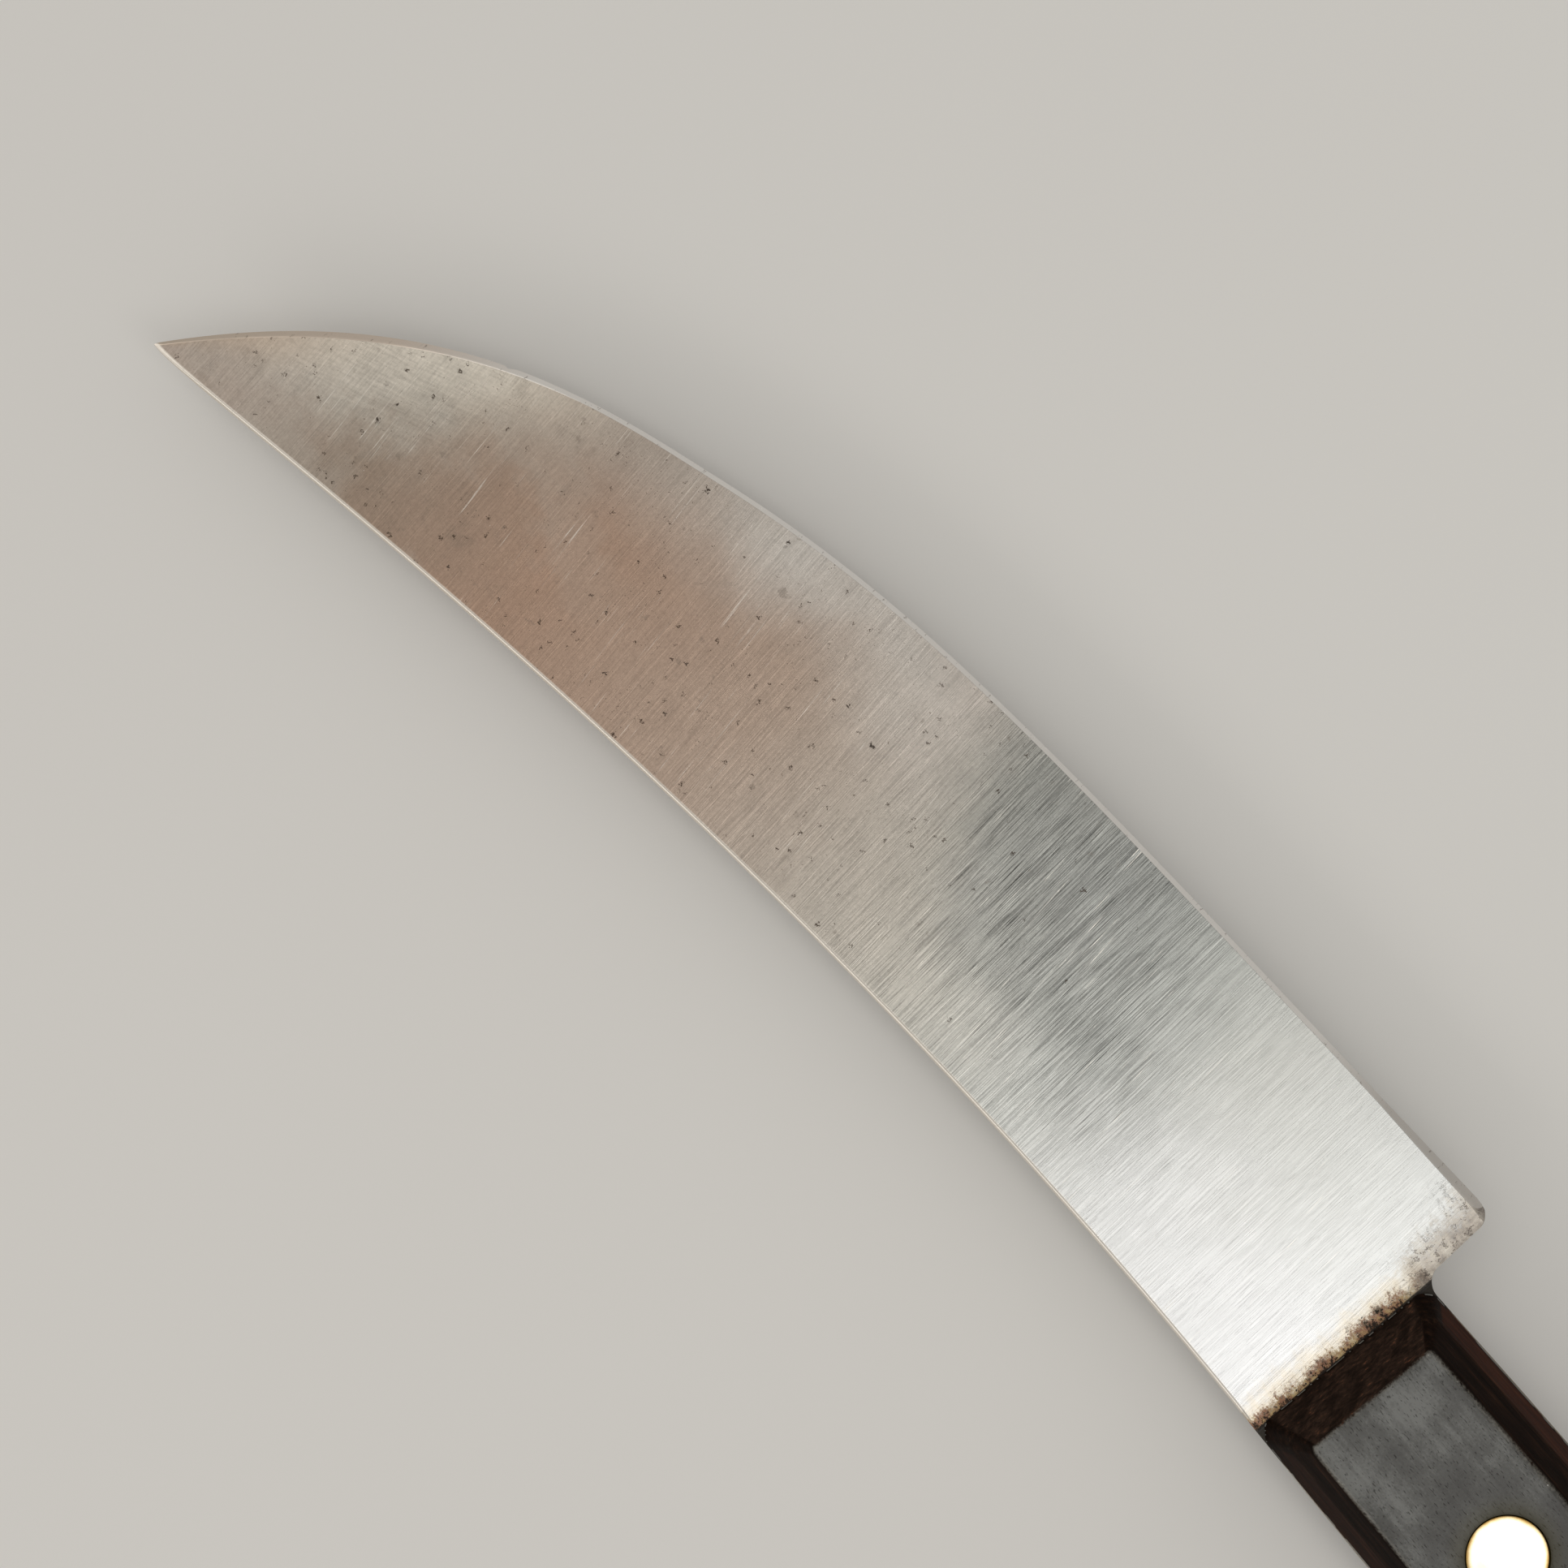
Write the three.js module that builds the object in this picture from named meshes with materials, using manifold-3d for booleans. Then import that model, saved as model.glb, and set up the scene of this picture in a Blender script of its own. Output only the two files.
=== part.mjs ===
// A butcher's boning knife with an up-swept blade: one piece of steel with a full tang,
// two wooden scales and three cutler's rivets. Millimetres.
//
// The knife lies on its side: +X runs from the butt to the tip, +Y towards the spine
// and +Z up through the thickness. While it is drawn, X is 0 where the scales begin,
// Y is 0 near the middle of the handle and Z is 0 in the middle of the steel.
// The finished knife is then moved so that it lies on Z = 0 with its middle over the origin.

import * as THREE from 'three';
import { mergeVertices } from 'three/addons/utils/BufferGeometryUtils.js';
import Module from 'manifold-3d';

const wasm = await Module();
wasm.setup();

// ---- driving dimensions -------------------------------------------------

// The spine is one curve and the edge is two that meet on the belly. The pulls are
// the curves' inner control points.
const TIP = [150.6, 22.3];
const TIP_BLUNT = 0.3;
const SPINE_START = [3, 10.95];
const SPINE_PULL = [[84.7, 8], [144, 22.8]];
const HEEL = [3, -20.13];
const HEEL_PULL = [[60, -17.7], [80, -18]];
const BELLY = [104, -10.8];
const BELLY_PULL = [[118, -6.6], [135.5, -2.4]];

const STEEL = 2.6;
const TIP_STEEL = 1.3;
const GRIND_ANGLE = 2.3;
const BEVEL_ANGLE = 20;
const BEVEL_AT_HEEL = 0.9;
const BEVEL_ALONG = 0.35;
const BEVEL_SETTLES = 22;
const BEVEL_SHARE_AT_TIP = 0.3;
const EDGE_THICKNESS = 0.1;
const GRIND_STARTS = -2.5;
const GRIND_IS_FULL = 1;
const BLADE_STEPS = 44;

// The heel's back face stands square to the spine, with a hollow fillet to the tang
// and a blunted corner at the edge.
const HEEL_FACE = 0.6;
const HEEL_FILLET = 2;
const FILLET_STEPS = 5;
const HEEL_CORNER = [[0.75, -18.6], [1.13, -19.4], [1.7, -19.95]];

const HANDLE_LENGTH = 118;
const SPINE_SIDE = [[0, 11.03], [-40, 12.3], [-70, 12.0], [-104, 13.1]];
const EDGE_SIDE = [[0, -10.75], [-40, -11.3], [-62, -9.8], [-104, -14.3]];
const SIDE_STEPS = 16;
const BUTT_SQUARENESS = 2.6;
const BUTT_TURN = 84;
const BUTT_STEPS = 9;
const TANG_PROUD = 0.12;

const SCALE_THICKNESS = 7;
const SIDE_FACE_HEIGHT = 3.7;
const GLUE_LINE = 0.03;
const FRONT_AT_SPINE = 0.5;
const FRONT_AT_EDGE = 0.15;
const FRONT_CORNER = 1.1;
const SIDE_FACE_INSET = { front: 1.2, spine: 1.35, edge: 1.55, butt: 1.4 };
const FLAT_FACE_INSET = { front: 2.35, spine: 2.9, edge: 4.15, butt: 3.6 };

const RIVETS = { front: -22.1, middle: -58, rear: -94 };
const RIVET_LINE = 0.8;
const RIVET_HEAD_RADIUS = 3.97;
const RIVET_HEAD_THICKNESS = 2.2;
const RIVET_HEAD_RECESS = 0.04;
const POST_RADIUS = 1.6;
const SLEEVE_RADIUS = 2.3;
const SLEEVE_BORE = 1.7;
const RIVET_CLEARANCE = 0.1;
const POST_STOPS_SHORT = 2.6;
const SLEEVE_STOPS_SHORT = 0.5;
const BORE_STOPS_SHORT = 2.2;
const ROUND_STEPS = 40;
const DRILL_OVERRUN = 1;

const HALF_STEEL = STEEL / 2;
const SCALE_BASE = HALF_STEEL + GLUE_LINE;
const SCALE_TOP = HALF_STEEL + SCALE_THICKNESS;
const HEAD_FACE = SCALE_TOP - RIVET_HEAD_RECESS;
const HEAD_UNDERSIDE = HEAD_FACE - RIVET_HEAD_THICKNESS;
const BUTT_START = SPINE_SIDE[3][0];
const BUTT_LENGTH = HANDLE_LENGTH + BUTT_START;

const steelFinish = { color: 0x9d9890, roughness: 0.34, metalness: 1 };
const woodFinish = { color: 0x2a2019, roughness: 0.5, metalness: 0 };
const brassFinish = { color: 0xd9c48c, roughness: 0.25, metalness: 1 };

// ---- helpers ------------------------------------------------------------

const radians = THREE.MathUtils.degToRad;
const lerp = THREE.MathUtils.lerp;
const clamp = THREE.MathUtils.clamp;

function bezier(points) {
  return new THREE.CubicBezierCurve(...points.map(([x, y]) => new THREE.Vector2(x, y)));
}

// A closed body through rings of equally many points. Each end is closed by a fan of
// triangles round the middle of its ring.
function skin(rings) {
  const perRing = rings[0].length;
  const lastRing = (rings.length - 1) * perRing;
  const firstMiddle = lastRing + perRing;
  const lastMiddle = firstMiddle + 1;
  const middleOf = (ring) => [0, 1, 2].map((axis) =>
    ring.reduce((sum, point) => sum + point[axis], 0) / perRing);
  const index = [];
  for (let k = 0; k < perRing; k += 1) {
    const next = (k + 1) % perRing;
    for (let start = 0; start < lastRing; start += perRing) {
      index.push(start + k, start + next, start + next + perRing);
      index.push(start + k, start + next + perRing, start + k + perRing);
    }
    index.push(next, k, firstMiddle);
    index.push(lastRing + k, lastRing + next, lastMiddle);
  }
  const points = [...rings.flat(), middleOf(rings[0]), middleOf(rings.at(-1))];
  const geometry = new THREE.BufferGeometry();
  geometry.setAttribute('position', new THREE.Float32BufferAttribute(points.flat(), 3));
  geometry.setIndex(index);
  return faceOutward(geometry);
}

// Turns every triangle round if the body was made inside out.
function faceOutward(geometry) {
  const index = geometry.index.array;
  const corner = [new THREE.Vector3(), new THREE.Vector3(), new THREE.Vector3()];
  let volume = 0;
  for (let t = 0; t < index.length; t += 3) {
    corner.forEach((point, k) => point.fromBufferAttribute(geometry.attributes.position, index[t + k]));
    volume += corner[0].dot(corner[1].clone().cross(corner[2])) / 6;
  }
  if (volume < 0) {
    for (let t = 0; t < index.length; t += 3) {
      [index[t], index[t + 1]] = [index[t + 1], index[t]];
    }
  }
  return geometry;
}

function toSolid(geometry) {
  const bare = geometry.clone();
  bare.deleteAttribute('normal');
  bare.deleteAttribute('uv');
  const merged = mergeVertices(bare, 1e-4);
  const vertProperties = new Float32Array(merged.attributes.position.array);
  const triVerts = new Uint32Array(merged.index.array);
  return new wasm.Manifold(new wasm.Mesh({ numProp: 3, vertProperties, triVerts }));
}

function toGeometry(solid) {
  const mesh = solid.getMesh();
  const geometry = new THREE.BufferGeometry();
  geometry.setAttribute('position', new THREE.BufferAttribute(mesh.vertProperties, 3));
  geometry.setIndex(new THREE.BufferAttribute(mesh.triVerts, 1));
  return geometry;
}

// A round bar along Z at a rivet's place, from one height to another, for cutting a hole.
function drill(x, radius, from, to) {
  const bar = new THREE.CylinderGeometry(radius, radius, Math.abs(to - from), ROUND_STEPS);
  bar.rotateX(Math.PI / 2);
  bar.translate(x, RIVET_LINE, (from + to) / 2);
  return toSolid(bar);
}

function piece(name, geometry, finish) {
  const mesh = new THREE.Mesh(geometry, new THREE.MeshStandardMaterial(finish));
  mesh.name = name;
  return mesh;
}

// ---- handle outline -----------------------------------------------------

// Pairs of points down the two long sides of the handle and round its butt, drawn in by
// their own amount on each side. The sides are gentle curves from x = start, and the butt
// is a squarish round end.
function handlePairs(inset, start) {
  const spineSide = bezier([[start, SPINE_SIDE[0][1]], ...SPINE_SIDE.slice(1)]);
  const edgeSide = bezier([[start, EDGE_SIDE[0][1]], ...EDGE_SIDE.slice(1)]);
  const pairs = [];
  for (let k = 0; k <= SIDE_STEPS; k += 1) {
    const spine = spineSide.getPoint(k / SIDE_STEPS);
    const edge = edgeSide.getPoint(k / SIDE_STEPS);
    pairs.push([[spine.x, spine.y - inset.spine], [edge.x, edge.y + inset.edge]]);
  }
  const [[, high], [, low]] = pairs.at(-1);
  for (let k = 1; k <= BUTT_STEPS; k += 1) {
    const turn = radians(BUTT_TURN * (k / BUTT_STEPS));
    const x = BUTT_START - (BUTT_LENGTH - inset.butt) * Math.sin(turn) ** (2 / BUTT_SQUARENESS);
    const across = ((high - low) / 2) * Math.cos(turn) ** (2 / BUTT_SQUARENESS);
    const centre = (high + low) / 2;
    pairs.push([[x, centre + across], [x, centre - across]]);
  }
  return pairs;
}

// One level of a scale's outline: the straight front with its corners cut off, then the
// edge side, the butt and the spine side.
function scaleOutline(inset) {
  const spineFront = FRONT_AT_SPINE - inset.front;
  const edgeFront = FRONT_AT_EDGE - inset.front;
  const pairs = handlePairs(inset, edgeFront - FRONT_CORNER);
  const [[, high], [, low]] = pairs[0];
  return [
    [spineFront, high - FRONT_CORNER],
    [edgeFront, low + FRONT_CORNER],
    ...pairs.map(([, edge]) => edge),
    ...pairs.map(([spine]) => spine).reverse(),
  ];
}

// ---- blade and tang -----------------------------------------------------

const spineCurve = bezier([SPINE_START, ...SPINE_PULL, TIP]);
const edgeCurve = new THREE.CurvePath();
edgeCurve.add(bezier([HEEL, ...HEEL_PULL, BELLY]));
edgeCurve.add(bezier([BELLY, ...BELLY_PULL, [TIP[0], TIP[1] - TIP_BLUNT]]));

function bevelWidth(x) {
  const settled = clamp((x - HEEL[0]) / BEVEL_SETTLES, 0, 1);
  return lerp(BEVEL_AT_HEEL, BEVEL_ALONG, settled);
}

// Half the steel's thickness at the bevel's upper line.
function halfAtBevel(x) {
  return EDGE_THICKNESS / 2 + bevelWidth(x) * Math.tan(radians(BEVEL_ANGLE));
}

// Half the steel's thickness at the spine: it thins evenly towards the tip, and
// near the tip the narrow blade is as thin as the grind makes it.
function halfAtSpine(x, width) {
  const thinned = lerp(HALF_STEEL, TIP_STEEL / 2, clamp(x / TIP[0], 0, 1));
  return Math.min(thinned, halfAtBevel(x) + width * Math.tan(radians(GRIND_ANGLE)));
}

// Six corners of the section that joins a point on the spine to one on the edge side.
// edgeLine is how far the sharpened edge lies from the spine at this place.
function bladeSection(spine, edge, edgeLine) {
  const width = Math.hypot(spine[0] - edge[0], spine[1] - edge[1]);
  const middle = (spine[0] + edge[0]) / 2;
  const bevel = Math.min(bevelWidth(middle), width * BEVEL_SHARE_AT_TIP);
  const atSpine = halfAtSpine(middle, edgeLine);
  const atBevel = Math.min(halfAtBevel(middle), atSpine);
  const ground = clamp((middle - GRIND_STARTS) / (GRIND_IS_FULL - GRIND_STARTS), 0, 1);
  const halfAt = (distance) => {
    const wedge = lerp(atSpine, atBevel, clamp(distance / (edgeLine - bevel), 0, 1));
    const sharpened = EDGE_THICKNESS / 2 + (edgeLine - distance) * Math.tan(radians(BEVEL_ANGLE));
    return lerp(atSpine, Math.min(wedge, Math.max(sharpened, EDGE_THICKNESS / 2)), ground);
  };
  const at = (distance) => {
    const along = distance / width;
    return [lerp(spine[0], edge[0], along), lerp(spine[1], edge[1], along)];
  };
  const stops = [0, width - bevel, width];
  const above = stops.map((distance) => [...at(distance), halfAt(distance)]);
  const below = stops.map((distance) => [...at(distance), -halfAt(distance)]);
  return [...above, ...below.reverse()];
}

// The sections of the tang, from the butt to where the grind begins.
function tangSections(edgeLine) {
  const proud = { spine: -TANG_PROUD, edge: -TANG_PROUD, butt: -TANG_PROUD };
  const pairs = handlePairs(proud, GRIND_STARTS);
  return pairs.reverse().map(([spine, edge]) => bladeSection(spine, edge, edgeLine));
}

// The sections from there to the heel: the fillet first, then the blunted corner.
function heelSections(edgeLine) {
  const tangSpine = [GRIND_STARTS, SPINE_SIDE[0][1] + TANG_PROUD];
  const tangEdge = EDGE_SIDE[0][1] - TANG_PROUD;
  const outline = [];
  for (let k = 0; k <= FILLET_STEPS; k += 1) {
    const turn = (Math.PI / 2) * (k / FILLET_STEPS);
    outline.push([
      HEEL_FACE - HEEL_FILLET * (1 - Math.sin(turn)),
      tangEdge - HEEL_FILLET * (1 - Math.cos(turn)),
    ]);
  }
  return [...outline, ...HEEL_CORNER].map(([x, y]) => {
    const along = (x - tangSpine[0]) / (SPINE_START[0] - tangSpine[0]);
    return bladeSection([x, lerp(tangSpine[1], SPINE_START[1], along)], [x, y], edgeLine);
  });
}

function bladeSections() {
  const sections = [];
  for (let k = 0; k <= BLADE_STEPS; k += 1) {
    const spine = spineCurve.getPointAt(k / BLADE_STEPS);
    const edge = edgeCurve.getPointAt(k / BLADE_STEPS);
    sections.push(bladeSection([spine.x, spine.y], [edge.x, edge.y], spine.distanceTo(edge)));
  }
  return sections;
}

function bladeAndTang() {
  const fullWidth = SPINE_START[1] - HEEL[1];
  let steel = toSolid(skin([
    ...tangSections(fullWidth),
    ...heelSections(fullWidth),
    ...bladeSections(),
  ]));
  for (const x of Object.values(RIVETS)) {
    steel = steel.subtract(drill(x, SLEEVE_RADIUS + RIVET_CLEARANCE, -STEEL, STEEL));
  }
  return piece('blade_and_tang', toGeometry(steel), steelFinish);
}

// ---- scales -------------------------------------------------------------

// side is +1 for the upper scale and -1 for the lower one.
function scale(name, side) {
  const levels = [
    [SCALE_BASE, { front: 0, spine: 0, edge: 0, butt: 0 }],
    [HALF_STEEL + SIDE_FACE_HEIGHT, SIDE_FACE_INSET],
    [SCALE_TOP, FLAT_FACE_INSET],
  ];
  let wood = toSolid(skin(levels.map(([height, inset]) =>
    scaleOutline(inset).map(([x, y]) => [x, y, side * height]))));
  for (const x of Object.values(RIVETS)) {
    wood = wood.subtract(drill(x, SLEEVE_RADIUS + RIVET_CLEARANCE, 0, side * SCALE_TOP));
    wood = wood.subtract(drill(x, RIVET_HEAD_RADIUS + RIVET_CLEARANCE,
      side * (HEAD_UNDERSIDE - RIVET_CLEARANCE), side * (SCALE_TOP + DRILL_OVERRUN)));
  }
  return piece(name, toGeometry(wood), woodFinish);
}

// ---- rivets -------------------------------------------------------------

function turned(name, profile, x) {
  const points = profile.map(([radius, z]) => new THREE.Vector2(radius, z));
  const geometry = new THREE.LatheGeometry(points, ROUND_STEPS);
  geometry.rotateX(Math.PI / 2);
  const mesh = piece(name, geometry, brassFinish);
  mesh.position.set(x, RIVET_LINE, 0);
  return mesh;
}

// The half with the solid post; its head sits in the upper scale.
function maleRivet(name, x) {
  const postEnd = -HEAD_UNDERSIDE + POST_STOPS_SHORT;
  return turned(name, [
    [0, postEnd],
    [POST_RADIUS, postEnd],
    [POST_RADIUS, HEAD_UNDERSIDE],
    [RIVET_HEAD_RADIUS, HEAD_UNDERSIDE],
    [RIVET_HEAD_RADIUS, HEAD_FACE],
    [0, HEAD_FACE],
  ], x);
}

// The half with the hollow sleeve, which grips the post; its head sits in the lower scale.
function femaleRivet(name, x) {
  const sleeveEnd = HEAD_UNDERSIDE - SLEEVE_STOPS_SHORT;
  const boreEnd = -HEAD_UNDERSIDE + BORE_STOPS_SHORT;
  return turned(name, [
    [0, -HEAD_FACE],
    [RIVET_HEAD_RADIUS, -HEAD_FACE],
    [RIVET_HEAD_RADIUS, -HEAD_UNDERSIDE],
    [SLEEVE_RADIUS, -HEAD_UNDERSIDE],
    [SLEEVE_RADIUS, sleeveEnd],
    [SLEEVE_BORE, sleeveEnd],
    [SLEEVE_BORE, boreEnd],
    [0, boreEnd],
  ], x);
}

// ---- assembly -----------------------------------------------------------

const knife = new THREE.Group();
knife.add(bladeAndTang());
knife.add(scale('upper_scale', 1));
knife.add(scale('lower_scale', -1));
for (const [place, x] of Object.entries(RIVETS)) {
  knife.add(maleRivet(`${place}_rivet_male`, x));
  knife.add(femaleRivet(`${place}_rivet_female`, x));
}

const box = new THREE.Box3().setFromObject(knife);
const middle = box.getCenter(new THREE.Vector3());
knife.position.set(-middle.x, -middle.y, -box.min.z);

export default knife;
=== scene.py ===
# %% [markdown]
# # A butcher's boning knife
#
# The knife is one steel piece, blade and tang together, between two wooden scales that three
# cutler's rivets hold. The CAD model gives every piece its place and its size. Here each piece
# is made again with the finer shape and the finish that a hand would feel on the real one.
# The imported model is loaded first, because every measure below starts from it.

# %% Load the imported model
import math

import bmesh
import bpy
import numpy as np
from mathutils import Matrix, Vector, noise
from mathutils.geometry import delaunay_2d_cdt
from mathutils.kdtree import KDTree


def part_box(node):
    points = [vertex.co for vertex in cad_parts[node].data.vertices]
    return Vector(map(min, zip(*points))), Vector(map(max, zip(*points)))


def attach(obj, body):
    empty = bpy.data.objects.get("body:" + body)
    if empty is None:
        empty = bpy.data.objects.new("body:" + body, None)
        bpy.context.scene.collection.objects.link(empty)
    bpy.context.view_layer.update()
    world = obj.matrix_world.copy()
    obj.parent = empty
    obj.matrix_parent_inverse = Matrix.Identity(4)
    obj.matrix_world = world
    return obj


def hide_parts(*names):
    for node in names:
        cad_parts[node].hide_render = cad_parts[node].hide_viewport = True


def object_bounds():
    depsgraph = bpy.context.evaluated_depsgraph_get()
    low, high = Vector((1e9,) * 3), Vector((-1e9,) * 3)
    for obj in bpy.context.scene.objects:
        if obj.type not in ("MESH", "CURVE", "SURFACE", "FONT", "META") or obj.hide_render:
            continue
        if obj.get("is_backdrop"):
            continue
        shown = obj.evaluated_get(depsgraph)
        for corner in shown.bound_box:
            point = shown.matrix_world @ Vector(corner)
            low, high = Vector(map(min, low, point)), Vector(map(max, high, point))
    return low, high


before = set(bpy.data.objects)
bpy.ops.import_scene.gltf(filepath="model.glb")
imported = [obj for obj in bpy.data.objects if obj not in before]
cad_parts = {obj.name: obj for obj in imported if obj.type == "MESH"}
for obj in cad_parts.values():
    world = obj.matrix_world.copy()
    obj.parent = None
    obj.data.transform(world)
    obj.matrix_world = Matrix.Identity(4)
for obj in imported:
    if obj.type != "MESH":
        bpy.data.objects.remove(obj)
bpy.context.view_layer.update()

# %% [markdown]
# ## A drawing in millimetres
#
# A cutler draws a knife from the line where the wood begins: x runs from there towards the
# point, y runs up to the spine, and z is nought in the middle of the steel. The pieces could be
# drawn in metres at once, but then every number would need three noughts. So each piece is made
# in the drawing's millimetres and moved into the frame when it is finished. The point of the
# blade and the middle of the steel tie the drawing to the CAD model.

# %% Tie the drawing to the frame
MM = 0.001
TIP = (150.6, 22.3)
steel_low, steel_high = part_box("blade_and_tang")
middle_of_steel = (steel_low.z + steel_high.z) / 2
ORIGIN = Vector((steel_high.x - TIP[0] * MM, steel_high.y - TIP[1] * MM, middle_of_steel))


def in_frame(x, y, z):
    """A point of the drawing, in the frame's metres."""
    return ORIGIN + Vector((x, y, z)) * MM


print("the drawing's origin lies at", [round(part, 5) for part in ORIGIN])

# %% [markdown]
# ## Curves
#
# The spine, the edge and the sides of the handle are long fair curves. Each is a Bezier curve
# with two pulling points, the way a spline weight bends a batten. Points at even lengths
# along a curve keep the mesh faces alike in size, which keeps the shading calm.

# %% Curves and easing
def bezier(points, share):
    """Points on a cubic curve at the given shares of its parameter."""
    start, pull, push, end = (np.array(point, float) for point in points)
    t = np.asarray(share, float)[:, None]
    return start * (1 - t) ** 3 + 3 * pull * t * (1 - t) ** 2 + 3 * push * t * t * (1 - t) + end * t ** 3


def at_lengths(points, share):
    """Points at even shares of the length of a line that was drawn as many short steps."""
    steps = np.hypot(*np.diff(points, axis=0).T)
    run = np.concatenate([[0], np.cumsum(steps)])
    wanted = np.asarray(share) * run[-1]
    return np.column_stack([np.interp(wanted, run, points[:, axis]) for axis in (0, 1)])


def ease(value, low, high):
    """0 below low, 1 above high, and a smooth turn between them."""
    t = min(max((value - low) / (high - low), 0), 1)
    return t * t * (3 - 2 * t)


def ripple(x, y, z):
    """A smooth random number from 0 to 1 for a place. It is the same on each run."""
    return 0.5 + 0.5 * noise.noise(Vector((x, y, z)))


FINE = np.linspace(0, 1, 1500)
SPINE_START = (3, 10.95)
HEEL = (3, -20.13)
BELLY = (104, -10.8)
TIP_BLUNT = 0.3
spine_line = np.minimum(bezier([SPINE_START, (84.7, 8), (144, 22.8), TIP], FINE), TIP)
edge_line = np.vstack([
    bezier([HEEL, (60, -17.7), (80, -18), BELLY], FINE),
    bezier([BELLY, (118, -6.6), (135.5, -2.4), (TIP[0], TIP[1] - TIP_BLUNT)], FINE)[1:],
])
print("edge length", round(float(np.hypot(*np.diff(edge_line, axis=0).T).sum()), 1), "mm")

# %% [markdown]
# ## Mesh helpers
#
# Most of a knife can be made from rings of points joined in order: the blade is a row of
# sections, a scale is a stack of outlines, and a rivet is a turned profile. One helper joins
# rings into faces. Edges that turn more than a set angle stay crisp.

# %% Join rings, and hand over a finished piece
CRISP_ANGLE = math.radians(32)


def join_rings(bm, rings):
    """Skins a row of closed rings. A ring of one point closes the row to a tip."""
    for one, two in zip(rings, rings[1:]):
        steps = max(len(one), len(two))
        for k in range(steps):
            after = (k + 1) % steps
            corners = (one[k % len(one)], one[after % len(one)], two[after % len(two)], two[k % len(two)])
            bm.faces.new(dict.fromkeys(corners))


def store(mesh, name, values):
    """Keeps three numbers with each point, for a material to read by name."""
    layer = mesh.attributes.new(name, "FLOAT_VECTOR", "POINT")
    layer.data.foreach_set("vector", np.asarray(values, np.float32).ravel())


def points_of(mesh):
    places = np.zeros(len(mesh.vertices) * 3)
    mesh.vertices.foreach_get("co", places)
    return places.reshape(-1, 3)


def to_mesh(bm, name):
    bmesh.ops.recalc_face_normals(bm, faces=bm.faces)
    mesh = bpy.data.meshes.new(name)
    bm.to_mesh(mesh)
    bm.free()
    return mesh


def in_scene(name, data):
    """A new object, linked into the scene."""
    made = bpy.data.objects.new(name, data)
    bpy.context.scene.collection.objects.link(made)
    return made


def hand_over(mesh, material, slot, *nodes):
    """Moves a mesh from the drawing into the frame and puts it in the scene as a piece."""
    places = points_of(mesh)
    store(mesh, "drawn", places)
    mesh.vertices.foreach_set("co", (places * MM + np.array(ORIGIN)).ravel())
    mesh.shade_smooth()
    mesh.set_sharp_from_angle(angle=CRISP_ANGLE)
    mesh.update()
    piece = in_scene(mesh.name, mesh)
    mesh.materials.append(material)
    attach(piece, "root")
    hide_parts(*nodes)
    print(mesh.name, "has", len(mesh.polygons), "faces")


def turned(bm, profile, x, y, steps):
    """Turns a profile of (radius, height) about an upright axis. Radius 0 closes it to a point."""
    rings = []
    for radius, height in profile:
        if radius == 0:
            rings.append([bm.verts.new((x, y, height))])
            continue
        angles = [2 * math.pi * k / steps for k in range(steps)]
        ring = [(x + radius * math.cos(a), y + radius * math.sin(a), height) for a in angles]
        rings.append([bm.verts.new(point) for point in ring])
    join_rings(bm, rings)


# %% [markdown]
# ## The handle's outline
#
# The scales and the tang share one outline, because a cutler grinds wood and steel flush
# together after riveting. It has two gently waisted sides and a squarish round butt. The
# outline is kept as pairs of points, one on the spine side and one on the edge side, so that
# the tang can take its sections from the same pairs as the wood takes its rings.

# %% Pairs of points down the handle
SPINE_SIDE = [(0, 11.03), (-40, 12.3), (-70, 12.0), (-104, 13.1)]
EDGE_SIDE = [(0, -10.75), (-40, -11.3), (-62, -9.8), (-104, -14.3)]
HANDLE_LENGTH = 118
BUTT_START = -104
BUTT_LENGTH = HANDLE_LENGTH + BUTT_START
BUTT_SQUARENESS = 2.6
BUTT_TURN = 84
SIDE_STEPS = 110
BUTT_STEPS = 30


def handle_pairs(inset, start):
    """The handle's outline drawn in by its own amount on each side, from x = start to the butt."""
    share = np.linspace(0, 1, SIDE_STEPS + 1)
    high = bezier([(start, SPINE_SIDE[0][1])] + SPINE_SIDE[1:], share) - [0, inset["spine"]]
    low = bezier([(start, EDGE_SIDE[0][1])] + EDGE_SIDE[1:], share) + [0, inset["edge"]]
    turn = np.radians(BUTT_TURN * np.arange(1, BUTT_STEPS + 1) / BUTT_STEPS)
    x = BUTT_START - (BUTT_LENGTH - inset["butt"]) * np.sin(turn) ** (2 / BUTT_SQUARENESS)
    half = (high[-1, 1] - low[-1, 1]) / 2 * np.cos(turn) ** (2 / BUTT_SQUARENESS)
    middle = (high[-1, 1] + low[-1, 1]) / 2
    return (np.vstack([high, np.column_stack([x, middle + half])]),
            np.vstack([low, np.column_stack([x, middle - half])]))


# %% [markdown]
# ## The blade and its tang
#
# The blade was forged or cut from 2.6 mm plate, ground to a long wedge on both sides and then
# given a narrow sharpened bevel. A flat sheet with a bump map would show none of this at its
# edges, so the steel is lofted: each section has a rounded back, a ground face, and a bevel,
# and the sections follow one another from the butt to the point. The grinder never leaves a
# true plane, so the faces get dents of a few hundredths of a millimetre, which is what makes
# reflections swim along an old blade. One small nick sits on the edge towards the point.

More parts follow.
